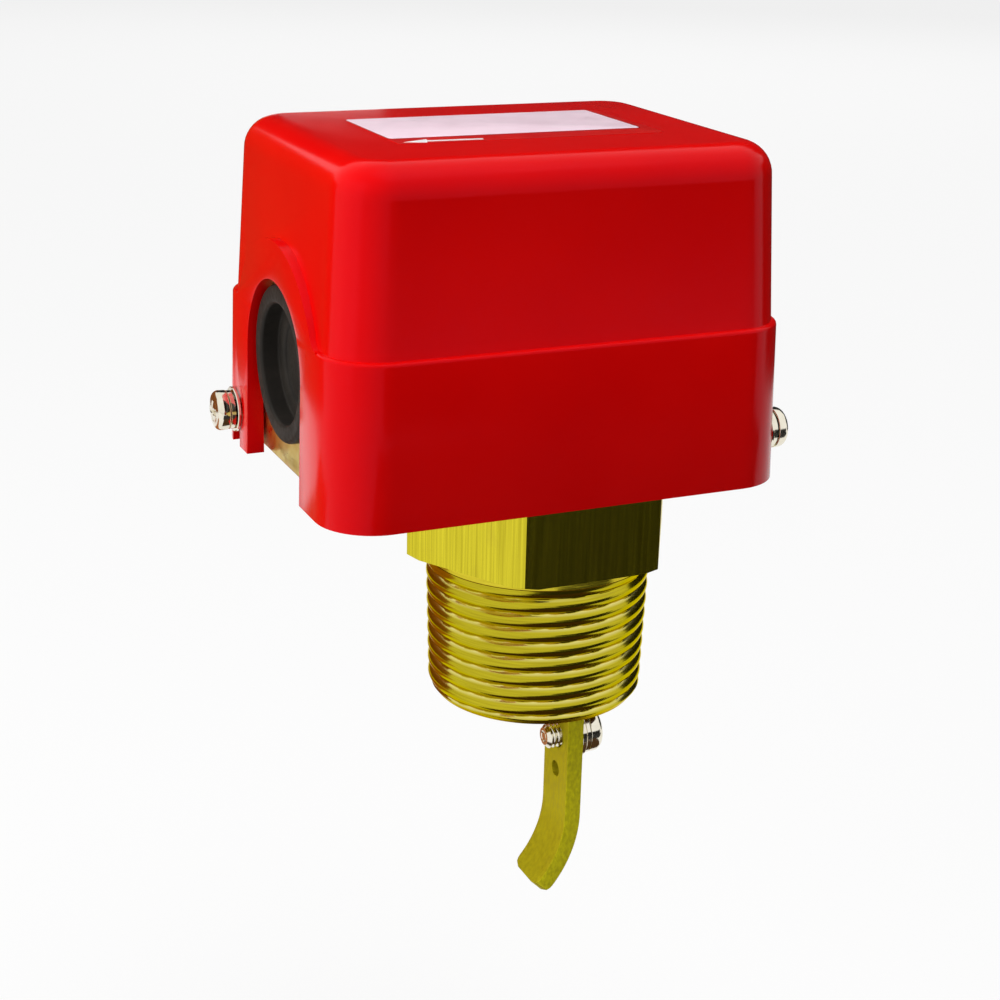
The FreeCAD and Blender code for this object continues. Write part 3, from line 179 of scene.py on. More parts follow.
def set_floor():
    """Pale floor that keeps the object's shadow and throws back less light than it shows."""
    floor = rectangle("floor", 2 * FLOOR_HALF, 2 * FLOOR_HALF)
    floor.location.z = FLOOR_Z
    material = bpy.data.materials.new("floor_white")
    material.use_nodes = True
    nodes, links = material.node_tree.nodes, material.node_tree.links
    nodes.clear()
    out = nodes.new("ShaderNodeOutputMaterial")
    seen = seen_directly(nodes, links)
    matt = nodes.new("ShaderNodeBsdfDiffuse")
    tone = nodes.new("ShaderNodeMapRange")
    tone.inputs["To Min"].default_value = FLOOR_TONE
    tone.inputs["To Max"].default_value = FLOOR_TONE_SEEN
    links.new(seen, tone.inputs["Value"])
    links.new(tone.outputs[0], matt.inputs["Color"])
    glow = nodes.new("ShaderNodeEmission")
    glow.inputs["Color"].default_value = (1, 1, 1, 1)
    share = nodes.new("ShaderNodeMath")
    share.operation = "MULTIPLY"
    share.inputs[1].default_value = FLOOR_GLOW
    links.new(seen, share.inputs[0])
    mix_shaders(nodes, links, share.outputs[0], matt, glow, out)
    floor.data.materials.append(material)


def add_flag(name, place, target, width, height, colour=(0.02, 0.02, 0.02)):
    """A matt studio card that only reflections see."""
    card = rectangle(name, width, height)
    card.location = place
    card.rotation_euler = (Vector(target) - Vector(place)).to_track_quat("Z", "Y").to_euler()
    material = bpy.data.materials.new(name)
    material.use_nodes = True
    shader = material.node_tree.nodes["Principled BSDF"]
    shader.inputs["Base Color"].default_value = (*colour, 1)
    shader.inputs["Roughness"].default_value = 1.0
    card.data.materials.append(material)
    card.visible_camera = False
    card.visible_diffuse = False
    card.visible_shadow = False


set_camera()
set_world()
set_floor()
view = bpy.context.scene.view_settings
view.view_transform = "Standard"
# Lamps and cards, in metres: where each stands, what it faces, its size, and its power or colour.
add_lamp("key", (-0.80, -0.08, 0.30), (0, 0, 0.02), 0.80, 6.9)
add_lamp("top", (0.10, -0.19, 0.83), (0, 0, 0), 0.6, 5.0)
add_lamp("fill", (0.75, 1.40, 0.90), (0, 0, 0), 1.3, 9.0)
CARD_Z = FLOOR_Z + 0.004
add_flag("flag_floor", (0.14, -0.29, CARD_Z), (0.14, -0.29, 1), 0.50, 0.32)
add_flag("flag_near", (0, -0.07, CARD_Z + 0.002), (0, -0.07, 1), 0.15, 0.16, (0.06, 0.03, 0.01))
add_flag("flag_front", (0.20, -0.46, -0.04), (0, 0, -0.04), 0.56, 0.15)
add_flag("flag_right", (0.46, 0.26, 0), (0, 0, 0), 0.95, 0.50)
add_flag("flag_end", (-0.15, 0.20, CARD_Z), (-0.15, 0.20, 1), 0.30, 0.17, (0.42, 0.15, 0.05))
add_flag("flag_left", (-0.20, 0.46, -0.02), (0, 0, -0.02), 0.66, 0.44, (0.36, 0.12, 0.03))
add_flag("flag_back", (0.55, 1.0, 0.55), (0, 0, 0.05), 1.9, 0.85)


# -------------------------------- materials
class Surface:
    """A Principled material with textures laid in the frame's own coordinates, in metres."""

    def __init__(self, name, colour, metallic=0.0, roughness=0.4):
        self.material = bpy.data.materials.new(name)
        self.material.use_nodes = True
        self.tree = self.material.node_tree
        self.shader = self.tree.nodes["Principled BSDF"]
        self.shader.inputs["Base Color"].default_value = (*colour, 1)
        self.shader.inputs["Metallic"].default_value = metallic
        self.shader.inputs["Roughness"].default_value = roughness
        self.place = self.tree.nodes.new("ShaderNodeTexCoord").outputs["Object"]
        self.bumps = None

    def node(self, kind, **values):
        node = self.tree.nodes.new(kind)
        for key, value in values.items():
            setattr(node, key, value)
        return node

    def link(self, a, b):
        self.tree.links.new(a, b)

    def noise(self, size_mm, stretch=(1, 1, 1), detail=3.0, distortion=0.0):
        """Noise whose spots are about size_mm across; stretch lengthens them along an axis."""
        mapping = self.node("ShaderNodeMapping")
        mapping.inputs["Scale"].default_value = [1 / (size_mm * MM * s) for s in stretch]
        self.link(self.place, mapping.inputs["Vector"])
        noise = self.node("ShaderNodeTexNoise")
        noise.inputs["Scale"].default_value = 1.0
        noise.inputs["Detail"].default_value = detail
        noise.inputs["Distortion"].default_value = distortion
        self.link(mapping.outputs[0], noise.inputs["Vector"])
        return noise.outputs["Fac"]

    def ramp(self, value, stops):
        ramp = self.node("ShaderNodeValToRGB")
        elements = ramp.color_ramp.elements
        while len(elements) < len(stops):
            elements.new(0.5)
        for element, (position, colour) in zip(elements, stops):
            element.position = position
            element.color = (*colour, 1)
        self.link(value, ramp.inputs[0])
        return ramp.outputs[0]

    def levels(self, value, low, high, to_low=0.0, to_high=1.0):
        node = self.node("ShaderNodeMapRange", clamp=True)
        node.inputs["From Min"].default_value = low
        node.inputs["From Max"].default_value = high
        node.inputs["To Min"].default_value = to_low
        node.inputs["To Max"].default_value = to_high
        self.link(value, node.inputs["Value"])
        return node.outputs[0]

    def colour(self, output):
        self.link(output, self.shader.inputs["Base Color"])

    def roughness(self, output):
        self.link(output, self.shader.inputs["Roughness"])

    def mixed(self, factor, first, second):
        """first and second are outputs or plain colours."""
        mix = self.node("ShaderNodeMix", data_type="RGBA")
        self.link(factor, mix.inputs["Factor"])
        for socket, value in (("A", first), ("B", second)):
            found = [i for i in mix.inputs if i.name == socket and i.type == "RGBA"][0]
            if isinstance(value, tuple):
                found.default_value = (*value, 1)
            else:
                self.link(value, found)
        return [o for o in mix.outputs if o.type == "RGBA"][0]

    def bump(self, height, depth_mm, strength=1.0):
        node = self.node("ShaderNodeBump")
        node.inputs["Strength"].default_value = strength
        node.inputs["Distance"].default_value = depth_mm * MM
        self.link(height, node.inputs["Height"])
        if self.bumps is not None:
            self.link(self.bumps, node.inputs["Normal"])
        self.bumps = node.outputs[0]
        self.link(self.bumps, self.shader.inputs["Normal"])

    def product(self, a, b):
        node = self.node("ShaderNodeMath", operation="MULTIPLY")
        self.link(a, node.inputs[0])
        self.link(b, node.inputs[1])
        return node.outputs[0]


def red_moulding():
    """The cover's glossy red plastic, slightly wavy, with a rose tint in what it reflects."""
    s = Surface("signal_red_gloss", (0.76, 0.003, 0.001), roughness=0.26)
    broad = s.noise(26, detail=2)
    s.colour(s.ramp(broad, [(0.3, (0.76, 0.001, 0.001)), (0.7, (0.83, 0.002, 0.001))]))
    s.roughness(s.levels(s.noise(7, detail=4), 0.3, 0.7, 0.14, 0.20))
    s.bump(s.noise(6, detail=1), 0.012, 0.4)
    s.bump(s.noise(0.9, detail=1), 0.0005, 0.3)
    s.shader.inputs["Specular IOR Level"].default_value = 0.22
    s.shader.inputs["Specular Tint"].default_value = (1.0, 0.24, 0.46, 1)
    return s.material


def vinyl(name, light, dark, roughness=0.35):
    """Printed label film."""
    s = Surface(name, light, roughness=roughness)
    s.shader.inputs["Specular IOR Level"].default_value = 0.25
    s.colour(s.ramp(s.noise(5, detail=4), [(0.35, dark), (0.65, light)]))
    s.roughness(s.levels(s.noise(2), 0.3, 0.7, roughness - 0.05, roughness + 0.08))
    s.bump(s.noise(0.6, detail=2), 0.004, 0.4)
    return s.material


BRASS_EDGE = (1.0, 0.86, 0.25, 1)           # what brass reflects at a glancing angle


def brass(name, light, dark, stretch, grain, roughness, tarnish, bump=0.006, metallic=1.0,
          spread=0.08):
    """Yellow brass with tool marks along one axis and a little tarnish."""
    s = Surface(name, light, metallic=metallic, roughness=roughness)
    s.shader.inputs["Specular IOR Level"].default_value = 0.2
    s.shader.inputs["Specular Tint"].default_value = BRASS_EDGE
    fine = s.noise(grain, stretch, detail=5)
    cloudy = s.noise(6, detail=5, distortion=0.5)
    toned = s.ramp(fine, [(0.32, dark), (0.68, light)])
    brown = (0.30, 0.17, 0.04)
    s.colour(s.mixed(s.levels(cloudy, 0.52, 0.80, 0.0, tarnish), toned, brown))
    s.roughness(s.levels(fine, 0.3, 0.7, roughness - spread, roughness + spread))
    s.bump(fine, bump, 0.6)
    return s.material


def threaded_brass():
    """Turned brass, with painted shade in brown under the flanks of its grooves and a paler painted
    highlight on the flanks above them.
    """
    light, dark = (0.54, 0.46, 0.020), (0.42, 0.345, 0.013)
    # painted shade colour for the grooves' downward flanks, and painted highlight colour for their
    # upward flanks
    shade_colour, highlight_colour = (0.34, 0.17, 0.008), (0.95, 0.86, 0.36)
    s = Surface("brass_thread", light, metallic=1.0, roughness=0.24)
    s.shader.inputs["Specular Tint"].default_value = BRASS_EDGE
    turned = s.noise(0.25, (30, 30, 1), detail=5)
    toned = s.ramp(turned, [(0.32, dark), (0.68, light)])
    axes = s.node("ShaderNodeSeparateXYZ")
    s.link(s.place, axes.inputs[0])
    flat = s.node("ShaderNodeCombineXYZ")
    s.link(axes.outputs["X"], flat.inputs["X"])
    s.link(axes.outputs["Y"], flat.inputs["Y"])
    radius = s.node("ShaderNodeVectorMath", operation="LENGTH")
    s.link(flat.outputs[0], radius.inputs[0])
    # the radius that the taper would have at z 0, so that crests read the same all the way down
    taper = s.node("ShaderNodeMath", operation="MULTIPLY_ADD")
    s.link(axes.outputs["Z"], taper.inputs[0])
    taper.inputs[1].default_value = -THREAD_TAPER
    s.link(radius.outputs["Value"], taper.inputs[2])
    crest = THREAD_RADIUS * MM
    low = s.levels(taper.outputs[0], crest - 0.80 * MM, crest - 0.18 * MM, 1.0, 0.0)
    patches = s.levels(s.noise(4.5, detail=4, distortion=0.4), 0.35, 0.65, 0.55, 1.0)
    slope = s.node("ShaderNodeSeparateXYZ")
    s.link(s.node("ShaderNodeNewGeometry").outputs["Normal"], slope.inputs[0])
    under = s.levels(slope.outputs["Z"], 0.0, 0.3, 1.0, 0.0)
    # painted shade: deep in the grooves, on flanks that face down, mottled by noise
    shade_share = s.product(s.product(low, patches), under)
    # painted highlight: deep in the grooves, on flanks that face up
    highlight_share = s.levels(slope.outputs["Z"], 0.42, 0.60)
    s.colour(s.mixed(s.product(low, highlight_share), s.mixed(shade_share, toned, shade_colour), highlight_colour))
    s.roughness(s.levels(shade_share, 0.0, 1.0, 0.17, 0.28))
    s.bump(turned, 0.003, 0.6)
    return s.material


def steel(name, light, dark, roughness, grain, stretch=(1, 1, 1)):
    """Plated or bright steel: fine grain, and clouds where the plating dulls."""
    s = Surface(name, light, metallic=1.0, roughness=roughness)
    fine = s.noise(grain, stretch, detail=4)
    cloudy = s.noise(5, detail=4)
    s.colour(s.mixed(s.levels(cloudy, 0.35, 0.75), s.ramp(fine, [(0.3, dark), (0.7, light)]), light))
    s.roughness(s.levels(cloudy, 0.3, 0.7, roughness - 0.05, roughness + 0.08))
    s.bump(fine, 0.004, 0.5)
    return s.material


def passivated():
    """Zinc with golden passivation: clouds of yellow, olive and copper."""
    s = Surface("yellow_passivated", (0.72, 0.58, 0.24), metallic=1.0, roughness=0.32)
    clouds = s.noise(7, detail=5, distortion=1.2)
    s.colour(s.ramp(clouds, [
        (0.25, (0.62, 0.48, 0.08)), (0.42, (0.76, 0.58, 0.10)),
        (0.58, (0.72, 0.56, 0.13)), (0.75, (0.72, 0.42, 0.13)),
    ]))
    s.roughness(s.levels(s.noise(1.2, detail=4), 0.3, 0.7, 0.27, 0.42))
    s.bump(s.noise(0.4, detail=3), 0.004, 0.5)
    return s.material


def matt(name, light, dark, roughness, spot, depth=0.01, gloss=0.5):
    """Rubber, plastic or lacquer with a fine uneven skin."""
    s = Surface(name, light, roughness=roughness)
    s.shader.inputs["Specular IOR Level"].default_value = gloss
    s.colour(s.ramp(s.noise(spot * 4, detail=5), [(0.3, dark), (0.7, light)]))
    s.roughness(s.levels(s.noise(spot, detail=3), 0.3, 0.7, roughness - 0.08, roughness + 0.1))
    s.bump(s.noise(spot * 0.4, detail=3), depth, 0.6)
    return s.material


M = {
    "red": red_moulding(),
    "white_film": vinyl("label_white", (0.95, 0.74, 0.83), (0.91, 0.69, 0.78)),
    "red_film": vinyl("label_red", (0.55, 0.004, 0.002), (0.48, 0.002, 0.002), 0.4),
    "maroon_film": vinyl("label_outline", (0.16, 0.01, 0.01), (0.12, 0.008, 0.008), 0.4),
    "arrow_film": vinyl("label_arrow", (0.92, 0.91, 0.90), (0.86, 0.85, 0.84)),
    "brass_drawn": brass(
        "brass_drawn", (0.74, 0.64, 0.036), (0.52, 0.44, 0.022), (1, 1, 60), 0.32, 0.20, 0.20, 0.002,
        spread=0.02,
    ),
    "brass_turned": brass(
        "brass_turned", (0.74, 0.62, 0.040), (0.62, 0.50, 0.028), (30, 30, 1), 0.25, 0.22, 0.3
    ),
    "brass_thread": threaded_brass(),
    "brass_strip": brass(
        "brass_strip", (0.56, 0.49, 0.014), (0.45, 0.39, 0.010), (1, 1, 2), 0.6, 0.55, 0.25, 0.02, 0.6
    ),
    "brass_sheared": brass(
        "brass_sheared", (0.92, 0.86, 0.020), (0.66, 0.60, 0.014), (1, 1, 2), 0.5, 0.60, 0.15, 0.05, 0.3
    ),
    "bronze": brass("bronze", (0.72, 0.50, 0.24), (0.58, 0.38, 0.16), (1, 1, 1), 0.8, 0.30, 0.4),
    "nickel": steel("nickel", (0.86, 0.81, 0.68), (0.76, 0.71, 0.57), 0.12, 1.2),
    "zinc": steel("zinc_plate", (0.70, 0.71, 0.73), (0.58, 0.59, 0.61), 0.30, 0.6),
    "stainless": steel("stainless", (0.66, 0.66, 0.66), (0.56, 0.56, 0.56), 0.22, 0.2, (1, 20, 1)),
    "spring": steel("spring_steel", (0.36, 0.36, 0.38), (0.26, 0.26, 0.28), 0.34, 0.5),
    "passivated": passivated(),
    "rubber": matt("black_rubber", (0.027, 0.023, 0.019), (0.017, 0.015, 0.013), 0.50, 0.8, 0.012, 0.12),
    "phenolic": matt("black_phenolic", (0.030, 0.028, 0.027), (0.020, 0.019, 0.018), 0.38, 0.7, 0.006),
    "nylon": matt("red_nylon", (0.50, 0.04, 0.03), (0.42, 0.03, 0.02), 0.45, 0.7),
    "green": matt("green_lacquer", (0.06, 0.30, 0.10), (0.04, 0.24, 0.08), 0.35, 0.7),
}


# -------------------------------- mesh helpers
def piece(name, bm, material, body, replaces=(), sharp=35.0):
    bmesh.ops.remove_doubles(bm, verts=bm.verts, dist=1e-5)
    bmesh.ops.recalc_face_normals(bm, faces=bm.faces)
    bmesh.ops.scale(bm, vec=(MM, MM, MM), verts=bm.verts)
    mesh = bpy.data.meshes.new(name)
    bm.to_mesh(mesh)
    bm.free()
    mesh.shade_smooth()
    mesh.set_sharp_from_angle(angle=math.radians(sharp))
    mesh.materials.append(M[material])
    made = bpy.data.objects.new(name, mesh)
    bpy.context.scene.collection.objects.link(made)
    if body:
        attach(made, body)
    if replaces:
        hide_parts(*replaces)
    return made


def join(target, source):
    """Adds a copy of one bmesh to another."""
    mesh = bpy.data.meshes.new("part")
    source.to_mesh(mesh)
    source.free()
    target.from_mesh(mesh)
    bpy.data.meshes.remove(mesh)
    return target


def bridge_rings(bm, rings):
    """Quads between closed rings of vertices; every ring has the same number."""
    for low, high in zip(rings, rings[1:]):
        for i in range(len(low)):
            j = (i + 1) % len(low)
            corners = list(dict.fromkeys((low[i], low[j], high[j], high[i])))
            if len(corners) > 2:
                bm.faces.new(corners)


def capped(bm, rings):
    """Bridges the rings and closes both ends."""
    bridge_rings(bm, rings)
    bm.faces.new(rings[0][::-1])
    bm.faces.new(rings[-1])
    return bm


def circle(bm, radius, z, segments):
    return [
        bm.verts.new((radius * math.cos(a), radius * math.sin(a), z))
        for a in (2 * math.pi * i / segments for i in range(segments))
    ]


def lathe(outline, segments=48, closed=False):
    """Revolves (radius, height) points about Z; a radius of 0 makes a pole."""
    bm = bmesh.new()
    rings = []
    for radius, z in outline:
        if radius < 1e-9:
            rings.append([bm.verts.new((0, 0, z))] * segments)
        else:
            rings.append(circle(bm, radius, z, segments))
    if closed:
        rings.append(rings[0])
    bridge_rings(bm, rings)
    return bm


def arc(centre, radius, start, end, steps):
    """Points of an arc in a plane, angles in degrees."""
    points = []
    for i in range(steps + 1):
        a = math.radians(start + (end - start) * i / steps)
        points.append((centre[0] + radius * math.cos(a), centre[1] + radius * math.sin(a)))
    return points


def rounded_plan(x0, x1, y0, y1, corner, steps=6):
    """Rounded rectangle, counter-clockwise."""
    points = []
    for cx, cy, start in (
        (x1 - corner, y1 - corner, 0), (x0 + corner, y1 - corner, 90),
        (x0 + corner, y0 + corner, 180), (x1 - corner, y0 + corner, 270),
    ):
        points += arc((cx, cy), corner, start, start + 90, steps)
    return points


def prism(points, z0=0.0, z1=1.0):
    """Closed prism on a flat outline."""
    bm = bmesh.new()
    return capped(bm, [[bm.verts.new((x, y, z)) for x, y in points] for z in (z0, z1)])


def facing(bm, place, direction):
    """Turns a mesh so that its Z points along a direction, then sets it down."""
    turn = Vector((0, 0, 1)).rotation_difference(Vector(direction)).to_matrix().to_4x4()
    bmesh.ops.transform(bm, matrix=Matrix.Translation(Vector(place)) @ turn, verts=bm.verts)
    return bm


def solid_box(x0, x1, y0, y1, z0, z1):
    return prism([(x0, y0), (x1, y0), (x1, y1), (x0, y1)], z0, z1)


def temporary(bm):
    mesh = bpy.data.meshes.new("tool")
    bmesh.ops.recalc_face_normals(bm, faces=bm.faces)
    bm.to_mesh(mesh)
    bm.free()
    made = bpy.data.objects.new("tool", mesh)
    bpy.context.scene.collection.objects.link(made)
    return made


def combined(base, tools, bevel=None, bevel_angle=40.0, segments=3):
    """Applies (operation, bmesh) boolean steps to a bmesh, then bevels its sharp edges."""
    target = temporary(base)
    helpers = []
    for operation, tool in tools:
        helper = temporary(tool)
        helpers.append(helper)
        step = target.modifiers.new("step", "BOOLEAN")
        step.operation = operation
        step.solver = "EXACT"
        step.object = helper
    if bevel:
        step = target.modifiers.new("bevel", "BEVEL")
        step.width = bevel
        step.segments = segments
        step.limit_method = "ANGLE"
        step.angle_limit = math.radians(bevel_angle)
        step.miter_outer = "MITER_ARC"
    bpy.context.view_layer.update()
    shape = target.evaluated_get(bpy.context.evaluated_depsgraph_get()).to_mesh()
    bm = bmesh.new()
    bm.from_mesh(shape)
    for made in [target] + helpers:
        bpy.data.objects.remove(made)
    return bm


# -------------------------------- cover
def stacked(levels):
    """Closed solid through (length, width, corner, z) rounded rectangles about the cover's centre."""
    bm = bmesh.new()
    rings = []
    for length, width, corner, z in levels:
        low, high = COVER_CENTRE - length / 2, COVER_CENTRE + length / 2
        plan = rounded_plan(low, high, -width / 2, width / 2, corner, 14)
        rings.append([bm.verts.new((x, y, z)) for x, y in plan])
    return capped(bm, rings)


def crowned(length, width, corner, top, fillet, steps=10):
    """Levels of a rounded top edge."""
    levels = []
    for side, z in arc((0, top - fillet), fillet, 0, 90, steps):
        inset = fillet - side
        levels.append((length - 2 * inset, width - 2 * inset, max(corner - inset, 0.8), z))
    return levels


def upper_size(z, inset=0.0):
    """Length and width of the upper wall at a height."""
    up = (z - LEDGE_Z) / (TOP_Z - LEDGE_Z)
    return (
        COVER_LENGTH - 2 * (LEDGE + TOP_TAPER_X * up + inset),
        COVER_WIDTH - 2 * (LEDGE + TOP_TAPER_Y * up + inset),
    )


def cover_outside():
    """Drafted skirt with a rounded ledge, and the tapered upper part that stands in from it."""
    levels = [(COVER_LENGTH + 2 * SKIRT_DRAFT, COVER_WIDTH + 2 * SKIRT_DRAFT, CORNER, RIM_Z)]
    levels += crowned(COVER_LENGTH, COVER_WIDTH, CORNER, LEDGE_Z, LEDGE_ROUND, 4)
    length, width = upper_size(LEDGE_Z)
    levels.append((length, width, CORNER - LEDGE, LEDGE_Z + STEP_RISE))
    length, width = upper_size(TOP_Z - TOP_FILLET)
    levels += crowned(length, width, CORNER - LEDGE, TOP_Z, TOP_FILLET)
    return stacked(levels)


def cover_inside():
    skirt = (COVER_LENGTH - 2 * WALL, COVER_WIDTH - 2 * WALL, INNER_CORNER)
    step, top = LEDGE_Z - WALL / 2, TOP_Z - WALL
    levels = [(*skirt, RIM_Z - 1), (*skirt, step)]
    levels.append((*upper_size(step, WALL), INNER_CORNER, step + STEP_RISE))
    length, width = upper_size(top - TOP_INNER_FILLET, WALL)
    levels += crowned(length, width, INNER_CORNER, top, TOP_INNER_FILLET, 6)
    return stacked(levels)


def along_x(outline, x0, x1):
    """Prism on an outline of (y, z) points, between two places along X."""
    bm = prism(outline)
    turn = Matrix(((0, 0, x1 - x0, x0), (1, 0, 0, 0), (0, 1, 0, 0), (0, 0, 0, 1)))
    bmesh.ops.transform(bm, matrix=turn, verts=bm.verts)
    return bm


def arch_outline(radius, foot, y=0.0, z=ENTRY_Z, steps=48):
    """An arch about (y, z) whose legs go down to a height."""
    return [(y - radius, foot)] + arc((y, z), radius, 180, 0, steps) + [(y + radius, foot)]


def boss_outline(steps=40, blend=2.2):
    """The raised arch, with its feet curving out onto the ledge."""
    rise = LEDGE_Z - ENTRY_Z + blend
    reach = math.sqrt((BOSS_RADIUS + blend) ** 2 - rise ** 2)
    joint = math.degrees(math.atan2(rise, reach))
    right = [(reach, LEDGE_Z - 1)] + arc((reach, ENTRY_Z + rise), blend, 270, 180 + joint, 8)
    top = arc((0, ENTRY_Z), BOSS_RADIUS, joint, 180 - joint, steps)[1:-1]
    return right + top + [(-y, z) for y, z in reversed(right)]


def make_cover():
    end = COVER_CENTRE - COVER_LENGTH / 2
    shell = combined(cover_outside(), [("UNION", along_x(boss_outline(), end + 0.02, end + 2 * WALL))])
    cavity_arch = arch_outline(FLANGE_CAVITY_RADIUS, ENTRY_Z)
    slot = arch_outline(SLOT_RADIUS, RIM_Z - 2)
    tools = [
        cover_inside(), along_x(cavity_arch, end + WALL, end + 3 * WALL),
        along_x(slot, end - 3, end + WALL + 1),
    ]
    for side in (-1, 1):
        notch = arch_outline(NOTCH_HALF, RIM_Z - 2, -side * SCREW_Y, SCREW_Z, 12)
        face = COVER_CENTRE + side * (COVER_LENGTH / 2 - WALL - 1)
        outer = COVER_CENTRE + side * (COVER_LENGTH / 2 + 3)
        tools.append(along_x(notch, min(face, outer), max(face, outer)))
    shell = combined(shell, [("DIFFERENCE", tool) for tool in tools], bevel=0.3, bevel_angle=38)
    piece("cover_shell", shell, "red", "cover", ["cover"], sharp=30)


make_cover()


# -------------------------------- label
LABEL = (-26.1, 12.3, -10.05, 11.25)        # x0, x1, y0, y1
PANEL_OUTLINE = (-26.08, 10.9, -6.05, 11.23)
WHITE_PANEL = (-25.98, 10.7, -5.85, 11.13)
LABEL_BASE = TOP_Z - 0.02
ARROW = [
    (-25.2, -8.9), (-21.4, -7.3), (-21.7, -8.3), (-14.0, -8.6),
    (-14.2, -9.4), (-22.0, -9.1), (-22.3, -9.9),
]


def label_layer(name, outline, lift, thickness, bevel, film, replaces=()):
    """Thin printed layer on the cover's top, its edge rounded off."""
    z = LABEL_BASE + lift
    layer = combined(prism(outline, z, z + thickness), [], bevel=bevel, bevel_angle=50, segments=2)
    piece(name, layer, film, "cover", replaces)


sheet, frame_line, panel = (
    rounded_plan(*sides, corner)
    for sides, corner in ((LABEL, 1.0), (PANEL_OUTLINE, 0.8), (WHITE_PANEL, 0.6))
)
label_layer("label_red_sheet", sheet, 0.0, 0.08, 0.06, "red_film", ["rating_label"])
label_layer("label_panel_outline", frame_line, 0.05, 0.05, 0.02, "maroon_film")
label_layer("label_white_panel", panel, 0.07, 0.05, 0.02, "white_film")
label_layer("label_flow_arrow", ARROW, 0.05, 0.06, 0.02, "arrow_film")


# -------------------------------- brass body
def upright_rod(radius, z0, z1, segments=64):
    return lathe([(0, z0), (radius, z0), (radius, z1), (0, z1)], segments)


def cross_rod(radius, x0, x1, z, direction=(1, 0, 0), segments=32):
    """Rod along a level direction, through the shank's axis at a height."""
    return facing(upright_rod(radius, x0, x1, segments), (0, 0, z), direction)


def chamfered_hexagon(flats, z0, z1, chamfer, cuts=(), bevel=None):
    """Hexagon whose corners are turned off at both ends."""
    corner = flats / math.sqrt(3)
    inset, reach = corner - 2 * chamfer, corner + 0.1
    turned = lathe([
        (0, z0), (inset, z0), (reach, z0 + chamfer), (reach, z1 - chamfer), (inset, z1), (0, z1),
    ], 96)
    base = prism(arc((0, 0), corner, 0, 300, 5))
    bmesh.ops.scale(base, vec=(1, 1, z1 - z0), verts=base.verts)
    bmesh.ops.translate(base, vec=(0, 0, z0), verts=base.verts)
    return combined(base, [("INTERSECT", turned), *cuts], bevel, 25)


def threaded_sleeve(top, end, radius_at, pitch, depth, bore, rows_per_pitch=20, segments=160,
                    lead_in=1.2, runout=1.6, end_edge=0.9, fullness=2.0):
    """Tube about Z with a helical thread outside, which fades into a plain band at its top.

    A higher fullness makes wide round crests over narrow roots."""
    bm = bmesh.new()
    rows = int((top - end) / (pitch / rows_per_pitch))
    rings = []
    inner_edge = 0.35
    for k in range(rows + 1):
        z = top + (end - top) * k / rows
        ring = []
        for i in range(segments):
            turn = i / segments
            phase = (z / pitch - turn) % 1.0
            cut = depth * abs(2 * phase - 1) ** fullness
            fade = min(1.0, max(0.0, (top - z) / runout)) if runout else 1.0
            radius = radius_at(z) - cut * fade
            to_end = z - end
            if to_end < lead_in:
                radius = min(radius, radius_at(end) - end_edge + to_end * end_edge / lead_in)
            a = 2 * math.pi * turn
            ring.append(bm.verts.new((radius * math.cos(a), radius * math.sin(a), z)))
        rings.append(ring)
    for radius, z in ((bore + inner_edge, end), (bore, end + inner_edge), (bore, top)):
        rings.append(circle(bm, radius, z, segments))
    rings.append(rings[0])
    bridge_rings(bm, rings)
    return bm


def threaded_shank(radius, length, pitch, depth, bore, core, lead_in, segments=48):
    """Small machine thread going down from z 0, filled by a plain core."""
    shank = threaded_sleeve(
        0.2, -length, lambda z: radius, pitch, depth, bore, rows_per_pitch=10, segments=segments,
        lead_in=lead_in, runout=0, end_edge=lead_in, fullness=1.6,
    )
    return join(shank, lathe([(0, 0.1), (core, 0.1), (core, -length), (0, -length)], 24))


COLLAR_BOTTOM, BELLOWS_SEAT_RADIUS = -1.6, 12.4


def shank_radius(z):
    return THREAD_RADIUS - 0.02 + min(0.0, (z - COLLAR_BOTTOM) * THREAD_TAPER)


def make_brass_body():
    """Hexagon, collar and taper thread, bored through, with a seat for the bellows on top."""
    seat = HEX_HEIGHT - 1.0
    cuts = [
        ("DIFFERENCE", upright_rod(BORE_RADIUS, -5, HEX_HEIGHT + 1, 96)),
        ("DIFFERENCE", upright_rod(BELLOWS_SEAT_RADIUS, seat, HEX_HEIGHT + 1, 96)),
    ]
    blank = chamfered_hexagon(HEX_FLATS, 0, HEX_HEIGHT, 0.5)
    hexagon = combined(blank, cuts, bevel=0.14, bevel_angle=25, segments=2)
    piece("brass_hexagon", hexagon, "brass_drawn", "base", ["brass_body"], sharp=25)
    collar = lathe([
        (BORE_RADIUS, 0.4), (THREAD_RADIUS - 0.36, 0.4), (THREAD_RADIUS - 0.32, 0.0),
        (THREAD_RADIUS - 0.03, COLLAR_BOTTOM + 0.12), (THREAD_RADIUS - 0.3, COLLAR_BOTTOM - 0.2),
        (THREAD_RADIUS - 2.0, COLLAR_BOTTOM - 0.3), (BORE_RADIUS, COLLAR_BOTTOM - 0.3),
    ], 128, closed=True)
    piece("brass_collar", collar, "brass_turned", "base", ["brass_body"], sharp=50)
    sleeve = threaded_sleeve(
        COLLAR_BOTTOM, THREAD_END, shank_radius, THREAD_PITCH, THREAD_DEPTH, BORE_RADIUS
    )
    piece("brass_taper_thread", sleeve, "brass_thread", "base", ["brass_body"], sharp=50)


make_brass_body()


# -------------------------------- screws and washers
def cross_recess(size, depth, top):
    """Cross-shaped tapering recess, cut from above."""
    bm = bmesh.new()
    wing, half = size, size * 0.24
    plan = [
        (wing, -half), (wing, half), (half, half), (half, wing), (-half, wing), (-half, half),
        (-wing, half), (-wing, -half), (-half, -half), (-half, -wing), (half, -wing), (half, -half),
    ]
    rings = []
    for below, share in ((-0.4, 1.06), (0.02, 1.0), (depth * 0.6, 0.72), (depth, 0.25)):
        z = top - below
        rings.append([bm.verts.new((x * share, y * share, z)) for x, y in plan])
    return capped(bm, rings)


